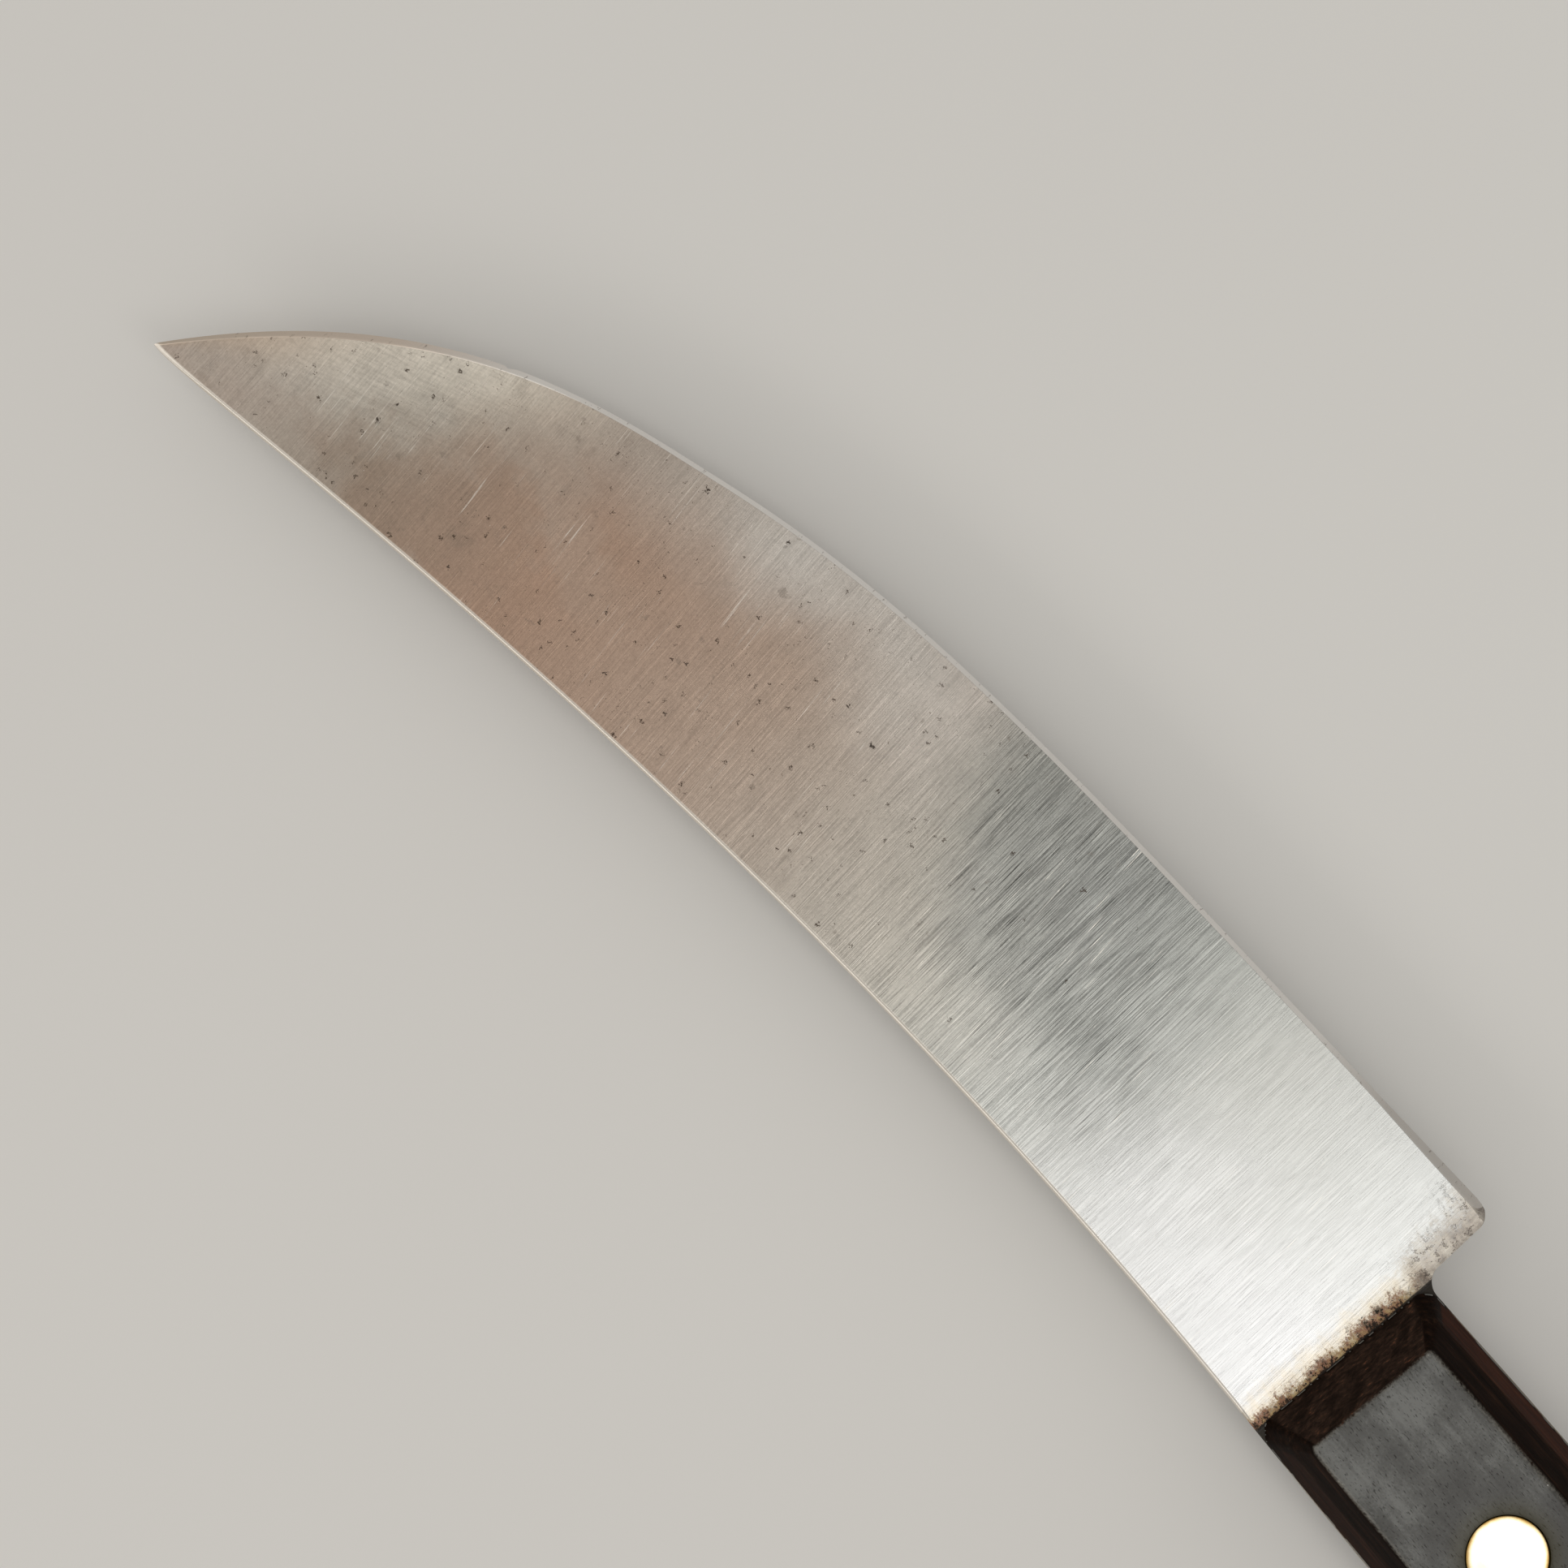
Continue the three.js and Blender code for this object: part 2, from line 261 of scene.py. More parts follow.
# %% Steel sections
STEEL = 2.6
TIP_STEEL = 1.3
GRIND_SLOPE = math.tan(math.radians(2.3))
BEVEL_SLOPE = math.tan(math.radians(20))
EDGE_HALF = 0.05
BEVEL_PLACES = [3, 9, 16, 26, 118, 134, 145, 150.6]
BEVEL_WIDTHS = [1.0, 0.85, 0.6, 0.52, 0.46, 0.75, 0.6, 0.3]
GRIND_RUN = (-2.5, 1.0)
BACK_ROUND = 0.42
TANG_ROUND = 0.14
ARC = np.radians(np.linspace(0, 90, 6))
FACE_STEPS = 28
SUPPORT = 0.03
EDGE_STOPS = np.array([0, 0.34, 0.67, 1])
DENT = 0.03
HOLLOW = 0.02
HOLLOW_FROM_EDGE = 2.0


def bevel_at(x, width):
    return min(float(np.interp(x, BEVEL_PLACES, BEVEL_WIDTHS)), 0.3 * width)


def half_steel(distance, x, full, bevel):
    """Half the steel's thickness at a distance from the spine, in a section whose edge is at full."""
    thinned = STEEL / 2 + (TIP_STEEL - STEEL) / 2 * min(max(x / TIP[0], 0), 1)
    at_bevel = EDGE_HALF + bevel * BEVEL_SLOPE
    at_spine = min(thinned, at_bevel + full * GRIND_SLOPE)
    at_bevel = min(at_bevel, at_spine)
    wedge = at_spine + (at_bevel - at_spine) * min(max(distance / (full - bevel), 0), 1)
    sharpened = EDGE_HALF + max(full - distance, 0) * BEVEL_SLOPE
    ground = min(max((x - GRIND_RUN[0]) / (GRIND_RUN[1] - GRIND_RUN[0]), 0), 1)
    return at_spine + (min(wedge, sharpened) - at_spine) * ground


def dent(x, y, from_edge, side):
    """How far the grinder has gone too deep at a place of one face."""
    swim = DENT * ripple(x / 17, y / 11, side * 5) + 0.4 * DENT * ripple(x / 6, y / 5, side * 9)
    hollow = HOLLOW * math.exp(-((from_edge - HOLLOW_FROM_EDGE) / 0.6) ** 2)
    hollow *= ease(x, 124, 131) * (1 - ease(x, 143, 148))
    return (swim * ease(from_edge, 0, 12) + hollow) * ease(x, 2, 12)


def steel_section(spine, edge, full):
    """The ring of points round one section, from the spine over the upper face and back below.

    full is where the sharpened edge would be. A section that ends short of it is cut off square.
    """
    width = math.hypot(spine[0] - edge[0], spine[1] - edge[1])
    x = (spine[0] + edge[0]) / 2
    bevel = bevel_at(x, full)
    sharpened = width > full - bevel + 0.02
    rounding = TANG_ROUND + (BACK_ROUND - TANG_ROUND) * ease(x, -2, 4)
    back = min(rounding, half_steel(0, x, full, bevel) * 0.8, width * 0.3)
    top = half_steel(back, x, full, bevel)
    stops = [(back * (1 - math.cos(a)), top - back + back * math.sin(a)) for a in ARC]
    if sharpened:
        last = full - bevel
        ends = [(d, half_steel(d, x, full, bevel)) for d in last + (width - last) * EDGE_STOPS]
    else:
        last = width - TANG_ROUND
        turn = EDGE_STOPS * math.pi / 2
        low = half_steel(last, x, full, bevel) - TANG_ROUND
        ends = [(last + TANG_ROUND * math.sin(a), low + TANG_ROUND * math.cos(a)) for a in turn]
    face = np.linspace(back + SUPPORT, last - SUPPORT, FACE_STEPS)
    stops += [(d, half_steel(d, x, full, bevel)) for d in face] + ends

    def placed(distance, height, side):
        share = distance / width
        px = spine[0] + (edge[0] - spine[0]) * share
        py = spine[1] + (edge[1] - spine[1]) * share
        worn = dent(px, py, full - distance, side)
        return (px, py, side * (height - worn))

    return [placed(*stop, 1) for stop in stops] + [placed(*stop, -1) for stop in reversed(stops)]


# %% Loft the steel
HEEL_FACE = 0.6
HEEL_FILLET = 2
HEEL_TOP = -12.87
HEEL_CORNER = [
    (0.75, -18.6), (0.82, -18.95), (0.95, -19.2), (1.13, -19.45),
    (1.4, -19.75), (1.7, -19.95), (2.2, -20.07),
]
HEEL_STEPS = 8
FILLET_STEPS = 13
HEEL_POINTS = 120
TANG_PROUD = 0.12
BLADE_STEPS = 340
NICK_AT = 126.1
NICK_DEPTH = 0.22
NICK_WIDTH = 0.3
full_width = SPINE_START[1] - HEEL[1]
proud = {"spine": -TANG_PROUD, "edge": -TANG_PROUD, "butt": -TANG_PROUD}
tang_high, tang_low = handle_pairs(proud, GRIND_RUN[0])
sections = []
for high, low in zip(tang_high[::-1], tang_low[::-1]):
    sections.append(steel_section(high, low, full_width))

heel_outline = []
for turn in np.radians(np.linspace(0, 90, FILLET_STEPS)):
    heel_outline.append((HEEL_FACE - HEEL_FILLET * (1 - math.sin(turn)),
                         tang_low[0, 1] - HEEL_FILLET * (1 - math.cos(turn))))
for k in range(1, HEEL_STEPS):
    down = k / HEEL_STEPS
    heel_outline.append((HEEL_FACE + (HEEL_CORNER[0][0] - HEEL_FACE) * down,
                         HEEL_TOP + (HEEL_CORNER[0][1] - HEEL_TOP) * down))
heel_outline += HEEL_CORNER
for x, y in heel_outline:
    share = (x - GRIND_RUN[0]) / (SPINE_START[0] - GRIND_RUN[0])
    over = (x, tang_high[0, 1] + (SPINE_START[1] - tang_high[0, 1]) * share)
    sections.append(steel_section(over, (x, y), full_width))

shares = np.linspace(0, 1, BLADE_STEPS + 1)
for spine, edge in zip(at_lengths(spine_line, shares), at_lengths(edge_line, shares)):
    full = math.dist(spine, edge)
    bite = NICK_DEPTH * math.exp(-((edge[0] - NICK_AT) / NICK_WIDTH) ** 2)
    bitten = edge + (spine - edge) / full * bite
    sections.append(steel_section(spine, bitten, full))

bm = bmesh.new()
rings = [[bm.verts.new(point) for point in section] for section in sections]
join_rings(bm, rings)
bm.faces.new(rings[0])
bm.faces.new(rings[-1])
steel_mesh = to_mesh(bm, "blade_and_full_tang")
print("steel lofted from", len(sections), "sections of", len(sections[0]), "points")

# %% [markdown]
# ## Holes in the tang
#
# The tang is drilled for the three rivets. The holes hide under the wood, but the piece is
# also kept as a solid of its own, so they are cut for real with a Boolean modifier, and the
# result is baked into the mesh. Afterwards every point is told how far it is from the cutting
# edge, from the spine and from the heel's back face, because wear and stains follow those lines.

# %% Drill the tang and measure its points
RIVETS = {"front": -22.1, "middle": -58, "rear": -94}
RIVET_LINE = 0.8
TANG_HOLE = 2.4
DRILL_STEPS = 48


def drilled(mesh, places, radius, reach):
    """The mesh with round upright holes cut through it."""
    blank = in_scene("blank", mesh)
    bm = bmesh.new()
    for x in places:
        turned(bm, [(0, -reach), (radius, -reach), (radius, reach), (0, reach)], x, RIVET_LINE, DRILL_STEPS)
    bit = in_scene("bit", to_mesh(bm, "bit"))
    cut = blank.modifiers.new("holes", "BOOLEAN")
    cut.operation = "DIFFERENCE"
    cut.solver = "EXACT"
    cut.object = bit
    view = bpy.context.evaluated_depsgraph_get()
    result = bpy.data.meshes.new_from_object(blank.evaluated_get(view))
    for done in (blank, bit):
        spent = done.data
        bpy.data.objects.remove(done)
        bpy.data.meshes.remove(spent)
    return result


def distances(places, line):
    """How far each place is from the nearest point of a flat line, seen from above."""
    tree = KDTree(len(line))
    for k, point in enumerate(line):
        tree.insert((point[0], point[1], 0), k)
    tree.balance()
    return np.array([tree.find((x, y, 0))[2] for x, y, _ in places])


steel_mesh = drilled(steel_mesh, RIVETS.values(), TANG_HOLE, STEEL)
steel_mesh.name = "blade_and_full_tang"
steel_places = points_of(steel_mesh)
heel_line = at_lengths(np.array(heel_outline), np.linspace(0, 1, HEEL_POINTS))
store(steel_mesh, "from_lines", np.column_stack([
    distances(steel_places, edge_line),
    distances(steel_places, spine_line),
    distances(steel_places, heel_line),
]))
print("steel points measured:", len(steel_places))

# %% [markdown]
# ## The wooden scales
#
# Each scale is a slab of dark wood, 7 mm thick, with a broad flat top, long chamfers down to
# its side faces, and a blunt front of end grain that leans back from the blade. Years of hands
# and scrubbing have rounded every corner and left low hollows. A box with a bevel modifier
# would give the same round everywhere. So a scale is a stack of outlines instead: each one
# is drawn in by its own amount at the front, the spine, the edge and the butt, and the stack
# goes round the two soft corners of the profile in small steps.

# %% Outline of a scale at any height
SCALE_BASE = STEEL / 2 + 0.03
SIDE_TOP = STEEL / 2 + 3.7
SCALE_TOP = STEEL / 2 + 7
FRONT_AT_SPINE = 0.5
FRONT_AT_EDGE = 0.15
FRONT_CORNER = (1.1, 0.8, 0.35, 0.35)
INSETS = [
    {"front": 0, "spine": 0, "edge": 0, "butt": 0},
    {"front": 1.2, "spine": 1.35, "edge": 1.55, "butt": 1.4},
    {"front": 2.7, "spine": 2.95, "edge": 4.15, "butt": 3.6},
    {"front": 3.7, "spine": 3.95, "edge": 5.15, "butt": 4.6},
]
CORNER_REACH = (0.5, 0.4, 0.2, 0.2)
CORNER_STEPS = 5
MOST_OF_LEG = 0.45
FRONT_STEPS = 44
CUT_STEPS = 3


def inset_at(level):
    """The insets at a level: 0 is the glue line, 1 the side face's top, 2 the flat's rim."""
    below = min(int(level), 2)
    share = level - below
    return {k: INSETS[below][k] + (INSETS[below + 1][k] - INSETS[below][k]) * share for k in INSETS[0]}


def scale_outline(level):
    """Points round a scale at a level, and for each one whether it is on the front face."""
    inset = inset_at(level)
    edge_front = FRONT_AT_EDGE - inset["front"]
    cut = float(np.interp(level, range(4), FRONT_CORNER))
    reach = float(np.interp(level, range(4), CORNER_REACH))
    high, low = handle_pairs(inset, edge_front - cut)
    corners = [
        high[0],
        np.array([FRONT_AT_SPINE - inset["front"], high[0, 1] - cut]),
        np.array([edge_front, low[0, 1] + cut]),
        low[0],
    ]
    legs = [high[1], *corners, low[1]]
    steps = [CUT_STEPS, FRONT_STEPS, CUT_STEPS]
    outline, on_front = [], []
    for k in range(1, 5):
        before, corner, after = legs[k - 1], legs[k], legs[k + 1]
        enter = corner + (before - corner) * min(reach / math.dist(before, corner), MOST_OF_LEG)
        leave = corner + (after - corner) * min(reach / math.dist(after, corner), MOST_OF_LEG)
        for t in np.linspace(0, 1, CORNER_STEPS):
            outline.append(enter * (1 - t) ** 2 + 2 * corner * t * (1 - t) + leave * t * t)
            on_front.append(0.5)
        if k < 4:
            following = legs[k + 1]
            share = min(reach / math.dist(corner, following), MOST_OF_LEG)
            ahead = following + (corner - following) * share
            for t in np.linspace(0, 1, steps[k - 1] + 2)[1:-1]:
                outline.append(leave + (ahead - leave) * t)
                on_front.append(1 if k == 2 else 0.6)
    outline += list(low[1:]) + list(high[:0:-1])
    on_front += [0] * (len(outline) - len(on_front))
    return np.array(outline), on_front


# %% Profile of a scale, with its two soft corners
PROFILE_STEPS = 7
SOFT_SIDE = 0.12
SOFT_RIM = 0.16
INSIDE_RIM = 2.45


def round_corner(one, corner, two, steps):
    """Steps round a corner of a line of (level, height) points."""
    one, corner, two = (np.array(point, float) for point in (one, corner, two))
    shares = np.linspace(0, 1, steps)
    return [tuple(one * (1 - t) ** 2 + 2 * corner * t * (1 - t) + two * t * t) for t in shares]


def along(one, two, share):
    return (one[0] + (two[0] - one[0]) * share, one[1] + (two[1] - one[1]) * share)


foot, ridge, rim = (0, SCALE_BASE), (1, SIDE_TOP), (2, SCALE_TOP)
profile = [along(foot, ridge, t) for t in np.linspace(0, 1 - SOFT_SIDE, PROFILE_STEPS)[:-1]]
profile += round_corner(along(ridge, foot, SOFT_SIDE), ridge, along(ridge, rim, SOFT_SIDE), PROFILE_STEPS)
profile += [along(ridge, rim, t) for t in np.linspace(SOFT_SIDE, 1 - SOFT_RIM, PROFILE_STEPS)[1:-1]]
profile += round_corner(along(rim, ridge, SOFT_RIM), rim, (INSIDE_RIM, SCALE_TOP), PROFILE_STEPS)
print("a scale is a stack of", len(profile), "outlines")

# %% [markdown]
# ## Faces with holes, and the wear of the wood
#
# The flat of a scale has three counterbored holes for the rivet heads. Cutting them with a
# Boolean would leave long thin faces that shade badly. A constrained triangulation takes
# the rim, the round holes and a grid of loose points, and fills the flat with small triangles
# that share the points of the walls. With small faces everywhere the wood can then be worn:
# each point moves a few hundredths of a millimetre into the wood, further on the rough end
# grain and along the rim, but not at the glue line or round the rivets.

# %% Fill a flat face round its holes
BORE_STEPS = 96
GRID = 1.1
SAME_POINT = 1e-7


def circle(x, radius):
    angles = 2 * math.pi * np.arange(BORE_STEPS) / BORE_STEPS
    return np.column_stack([x + radius * np.cos(angles), RIVET_LINE + radius * np.sin(angles)])


def from_rivets(x, y):
    """How far a place is from the nearest rivet's axis."""
    return np.min([np.hypot(x - place, y - RIVET_LINE) for place in RIVETS.values()], axis=0)


def filled(bm, outline, hole_radius, height, grid):
    """A flat face inside an outline with a round hole at each rivet."""
    loops = [np.array(outline)] + [circle(x, hole_radius) for x in RIVETS.values()]
    ridge_points = np.vstack(loops)
    edges, start = [], 0
    for loop in loops:
        edges += [(start + k, start + (k + 1) % len(loop)) for k in range(len(loop))]
        start += len(loop)
    loose = []
    if grid:
        low, high = loops[0].min(0), loops[0].max(0)
        xs, ys = np.meshgrid(np.arange(low[0], high[0], grid), np.arange(low[1], high[1], grid))
        sites = np.column_stack([xs.ravel(), ys.ravel(), np.zeros(xs.size)])
        clear = distances(sites, ridge_points) > 0.6 * grid
        loose = [tuple(site[:2]) for site in sites[clear]]
    flat = [Vector(point) for point in [tuple(p) for p in ridge_points] + loose]
    places, _, faces, *_ = delaunay_2d_cdt(flat, edges, [], 1, SAME_POINT)
    made = [bm.verts.new((place.x, place.y, height)) for place in places]
    for face in faces:
        middle = sum((places[k] for k in face), Vector((0, 0))) / len(face)
        if from_rivets(*middle) >= hole_radius:
            bm.faces.new([made[k] for k in face])


# %% Build a scale
HEAD_RADIUS = 3.97
HEAD_THICKNESS = 2.2
HEAD_FACE = SCALE_TOP - 0.04
HEAD_UNDERSIDE = HEAD_FACE - HEAD_THICKNESS
CLEARANCE = 0.1
BORE = HEAD_RADIUS + CLEARANCE
BORE_FLOOR = HEAD_UNDERSIDE - CLEARANCE
BORE_LIP = 0.09
WEAR = 0.05
RIM_WEAR = 0.09
FIBRE_WEAR = 0.05
END_GRAIN_WEAR = 0.16
WELD = 1e-4
CHAMFER_LENGTH = 4.2


def scale_mesh(name, side):
    """One scale as a mesh; side is 1 for the upper scale and -1 for the lower one."""
    bm = bmesh.new()
    rim_layer = bm.verts.layers.float.new("rim")
    front_layer = bm.verts.layers.float.new("front")
    rings = []
    for level, height in profile:
        outline, on_front = scale_outline(level)
        ring = []
        for (x, y), front in zip(outline, on_front):
            point = bm.verts.new((x, y, height))
            point[rim_layer] = (level - 2) * (CHAMFER_LENGTH if level < 2 else 1)
            point[front_layer] = front
            ring.append(point)
        rings.append(ring)
    join_rings(bm, rings)
    walls = len(bm.verts)
    top_outline, _ = scale_outline(profile[-1][0])
    filled(bm, top_outline, BORE + BORE_LIP, SCALE_TOP, GRID)
    filled(bm, scale_outline(0)[0], TANG_HOLE, SCALE_BASE, None)
    lip = [(BORE + BORE_LIP, SCALE_TOP), (BORE + 0.02, SCALE_TOP - 0.03), (BORE, SCALE_TOP - BORE_LIP)]
    well = lip + [(BORE, BORE_FLOOR), (TANG_HOLE, BORE_FLOOR), (TANG_HOLE, SCALE_BASE)]
    for x in RIVETS.values():
        turned(bm, well, x, RIVET_LINE, BORE_STEPS)
    bm.verts.ensure_lookup_table()
    inner = list(bm.verts)[walls:]
    rim_distance = distances([v.co for v in inner], scale_outline(2)[0])
    for vert, distance in zip(inner, rim_distance):
        vert[rim_layer] = distance
    bmesh.ops.remove_doubles(bm, verts=bm.verts, dist=WELD)
    bmesh.ops.recalc_face_normals(bm, faces=bm.faces)
    wear_wood(bm, rim_layer, front_layer, side)
    mesh = to_mesh(bm, name)
    places = points_of(mesh)
    rivets = from_rivets(places[:, 0], places[:, 1])
    numbers = [np.zeros(len(places)), np.zeros(len(places))]
    for layer, values in zip(("rim", "front"), numbers):
        mesh.attributes[layer].data.foreach_get("value", values)
    store(mesh, "wood_place", np.column_stack([*numbers, rivets]))
    return mesh


def wear_wood(bm, rim_layer, front_layer, side):
    """Moves the points of a scale into the wood where hands and tools have worn it."""
    bm.normal_update()
    moves = []
    for vert in bm.verts:
        x, y, z = vert.co
        free = ease(z, SCALE_BASE + 0.3, SCALE_BASE + 1.2) * ease(from_rivets(x, y) - BORE, 0.2, 1.5)
        smooth = WEAR * ripple(x / 7, y / 4, z / 4 + 7 * side) ** 1.5
        on_rim = RIM_WEAR * ripple(x / 2.2, y / 2.2, z + 3 * side) ** 2
        on_rim *= 1 - ease(abs(vert[rim_layer]), 0.1, 0.7)
        front = vert[front_layer] * (1 - ease(vert[rim_layer], 0, 0.5))
        rough = END_GRAIN_WEAR * front * ripple(x * 1.4, y * 1.1, z * 0.8 + 5 * side) ** 2
        fibres = FIBRE_WEAR * front * ripple(y * 4.5, z * 1.2, x * 2 + side)
        moves.append(-vert.normal * free * (smooth + on_rim + rough + fibres))
    for vert, move in zip(bm.verts, moves):
        vert.co += move
        vert.co.z *= side


upper_mesh = scale_mesh("upper_wooden_scale", 1)
lower_mesh = scale_mesh("lower_wooden_scale", -1)
print("scales built:", len(upper_mesh.vertices), "and", len(lower_mesh.vertices), "points")

# %% [markdown]
# ## The cutler's rivets
#
# A cutler's rivet comes in two halves: one has a solid post and the other a hollow sleeve, and
# a press drives them into each other until both heads sit in their counterbores. Each half is
# a turned part, so its profile is turned about its axis. The heads are ground flush with the
# wood and then buffed, which leaves them very slightly domed with a soft corner.

# %% Turn the rivet halves
POST = 1.6
SLEEVE = 2.3
SLEEVE_BORE = 1.7
DOME = 0.05
HEAD_CORNER = 0.14
POST_SHORT = 2.6
SLEEVE_SHORT = 0.5
BORE_SHORT = 2.2
CROWN_STEPS = 9
HEAD_BREAK = 0.05
POST_CHAMFER = 0.2


def head_profile():
    """The head from the edge of its underside over the soft corner to the middle of the crown."""
    corner = []
    for a in np.radians([0, 22, 45, 68]):
        corner.append((HEAD_RADIUS - HEAD_CORNER * (1 - math.cos(a)),
                       HEAD_FACE - DOME - HEAD_CORNER * (1 - math.sin(a))))
    radii = np.linspace(HEAD_RADIUS - HEAD_CORNER, 0, CROWN_STEPS)
    crown = [(float(r), HEAD_FACE - DOME * float(r / radii[0]) ** 2) for r in radii]
    under = [(HEAD_RADIUS - HEAD_BREAK, HEAD_UNDERSIDE), (HEAD_RADIUS, HEAD_UNDERSIDE + HEAD_BREAK)]
    return under + corner + crown


post_end = -HEAD_UNDERSIDE + POST_SHORT
sleeve_end = HEAD_UNDERSIDE - SLEEVE_SHORT
bore_end = HEAD_UNDERSIDE - BORE_SHORT
post_profile = [(0, post_end), (POST - POST_CHAMFER, post_end), (POST, post_end + POST_CHAMFER),
                (POST, HEAD_UNDERSIDE)]
sleeve_profile = [(0, bore_end), (SLEEVE_BORE, bore_end), (SLEEVE_BORE, -sleeve_end),
                  (SLEEVE, -sleeve_end), (SLEEVE, HEAD_UNDERSIDE)]


def rivet_mesh(name, x, shank, side):
    bm = bmesh.new()
    turned(bm, [(r, side * z) for r, z in shank + head_profile()], x, RIVET_LINE, BORE_STEPS)
    return to_mesh(bm, name)


rivet_meshes = {}
for place, x in RIVETS.items():
    rivet_meshes[place] = (rivet_mesh(f"{place}_rivet_post_half", x, post_profile, 1),
                           rivet_mesh(f"{place}_rivet_sleeve_half", x, sleeve_profile, -1))
print("rivet halves turned:", 2 * len(rivet_meshes))

# %% [markdown]
# ## Writing finishes as sums
#
# A finish is a recipe of masks: how near is the edge, is this place stained, does a scratch
# pass here. Wiring each sum by hand hides the recipe. The small class below wraps the output
# of a node, so that `1 - mask` or `grain.step(0.4, 0.6)` adds its nodes by itself. One method
# makes every other node: it sets the node's settings first, then its sockets.

# %% Colours, and sockets that can be added and multiplied
def tone(*chart):
    """A paint-chart colour, 0 to 255, in the linear light that shaders use."""
    return tuple(((c / 255 + 0.055) / 1.055) ** 2.4 if c > 10 else c / 255 / 12.92 for c in chart)


class Socket:
    """The output of a shader node, with the sums and steps that a finish needs."""

    def __init__(self, finish, output):
        self.finish = finish
        self.output = output

    def sum(self, operation, one, two):
        return self.finish.node("Math", {"operation": operation}, {0: one, 1: two})

    def __add__(self, other):
        return self.sum("ADD", self, other)

    def __radd__(self, other):
        return self.sum("ADD", other, self)

    def __sub__(self, other):
        return self.sum("SUBTRACT", self, other)

    def __rsub__(self, other):
        return self.sum("SUBTRACT", other, self)

    def __mul__(self, other):
        return self.sum("MULTIPLY", self, other)

    def __rmul__(self, other):
        return self.sum("MULTIPLY", other, self)

    def __truediv__(self, other):
        return self.sum("DIVIDE", self, other)

    def __pow__(self, other):
        return self.sum("POWER", self, other)

    def least(self, other):
        return self.sum("MINIMUM", self, other)

    def step(self, low, high):
        """0 below low, 1 above high, and a smooth turn between them."""
        sockets = {"Value": self, "From Min": low, "From Max": high}
        return self.finish.node("MapRange", {"interpolation_type": "SMOOTHSTEP"}, sockets)

    def band(self, low, high, soft):
        """1 between low and high, and 0 outside, with soft ends."""
        return self.step(low - soft, low + soft) * (1 - self.step(high - soft, high + soft))


class Finish:
    """A material while it is being written."""

    def __init__(self, name):
        self.material = bpy.data.materials.new(name)
        self.material.use_nodes = True
        self.tree = self.material.node_tree
        self.tree.nodes.clear()
        self.colour = None

    def node(self, kind, settings, sockets, out=0):
        """Any node: its settings, then the values or links of its sockets. Gives one output."""
        made = self.tree.nodes.new("ShaderNode" + kind)
        for name, value in settings.items():
            if name == "stops":
                self.set_stops(made.color_ramp.elements, value)
            else:
                setattr(made, name, value)
        for name, value in sockets.items():
            if isinstance(value, Socket):
                self.tree.links.new(value.output, made.inputs[name])
            elif isinstance(value, tuple) and len(value) == 3 and made.inputs[name].type == "RGBA":
                made.inputs[name].default_value = (*value, 1)
            else:
                made.inputs[name].default_value = value
        return Socket(self, made.outputs[out])

    def set_stops(self, elements, stops):
        while len(elements) < len(stops):
            elements.new(1)
        for element, (place, colour) in zip(elements, stops):
            element.position = place
            element.color = (*colour, 1)

    def parts(self, name):
        """The three numbers kept with each point under a name."""
        kept = self.node("Attribute", {"attribute_name": name}, {}, "Vector")
        split = self.node("SeparateXYZ", {}, {"Vector": kept}).output.node
        return [Socket(self, part) for part in split.outputs]

    def vector(self, *place):
        return self.node("CombineXYZ", {}, dict(zip("XYZ", place)))

    def cloud(self, place, scale, detail, roughness):
        """Noise from 0 to 1, gathered round a half, at a place: a link or three numbers."""
        if isinstance(place, tuple):
            place = self.vector(*place)
        sockets = {"Vector": place, "Scale": scale, "Detail": detail, "Roughness": roughness}
        return self.node("TexNoise", {}, sockets)

    def blend(self, share, one, two, way="MIX"):
        """Mixes two colours."""
        settings = {"data_type": "RGBA", "blend_type": way}
        return self.node("Mix", settings, {0: share, 6: one, 7: two}, 2)

    def lay(self, share, colour):
        """Lays a coat over the colour so far: a link, or red, green and blue from the paint chart."""
        if isinstance(colour, tuple):
            colour = tone(*colour)
        self.colour = self.blend(share, self.colour, colour)

    def ramp(self, value, stops):
        """A run of paint-chart colours. A stop is its place and then red, green and blue."""
        painted = [(place, tone(*colour)) for place, *colour in stops]
        return self.node("ValToRGB", {"stops": painted}, {"Fac": value}, "Color")

    def bump(self, height, strength, depth):
        """Turns a height from 0 to 1 into slopes; depth is in millimetres."""
        sockets = {"Height": height, "Strength": strength, "Distance": depth * MM}
        return self.node("Bump", {}, sockets, "Normal")

    def surface(self, sockets):
        """Joins the shader to the material's output."""
        shader = self.node("BsdfPrincipled", {}, sockets, "BSDF")
        end = self.tree.nodes.new("ShaderNodeOutputMaterial")
        self.tree.links.new(shader.output, end.inputs["Surface"])
        print(self.material.name, "uses", len(self.tree.nodes), "nodes")
        return self.material


# %% [markdown]
# ## The steel's finish
#
# Old carbon steel is never one grey. The face was finished across the blade on a belt, so its
# scratches run from spine to edge with a slight lean. The ground colour along the blade is
# partly stain and partly painted reflection: the end near the wood is clean and painted almost
# white, as if it mirrored the soft box, and the tip half is painted a warm grey-brown, partly
# stain and partly a painted warm reflection. A patch near the middle has gone dark with its
# scratches standing out bright. Pits dot the face, and rust creeps out from under the scales.
# A single noise could not follow these places, so each has its own mask, measured in
# millimetres along and across the blade. They are laid over one another as coats: stain with
# painted reflection, a painted highlight near the point, grinding marks, pits, rust, the fresh
# sharpening bevel, and last a painted highlight along the rounded back.

# %% Steel: places and grinding marks
steel = Finish("worn_carbon_steel")
along_x, up_y, out_z = steel.parts("drawn")
from_edge, from_spine, from_heel = steel.parts("from_lines")
lean = along_x + up_y * (0.03 + 0.11 * along_x.step(30, 100))
side_seed = out_z * 3


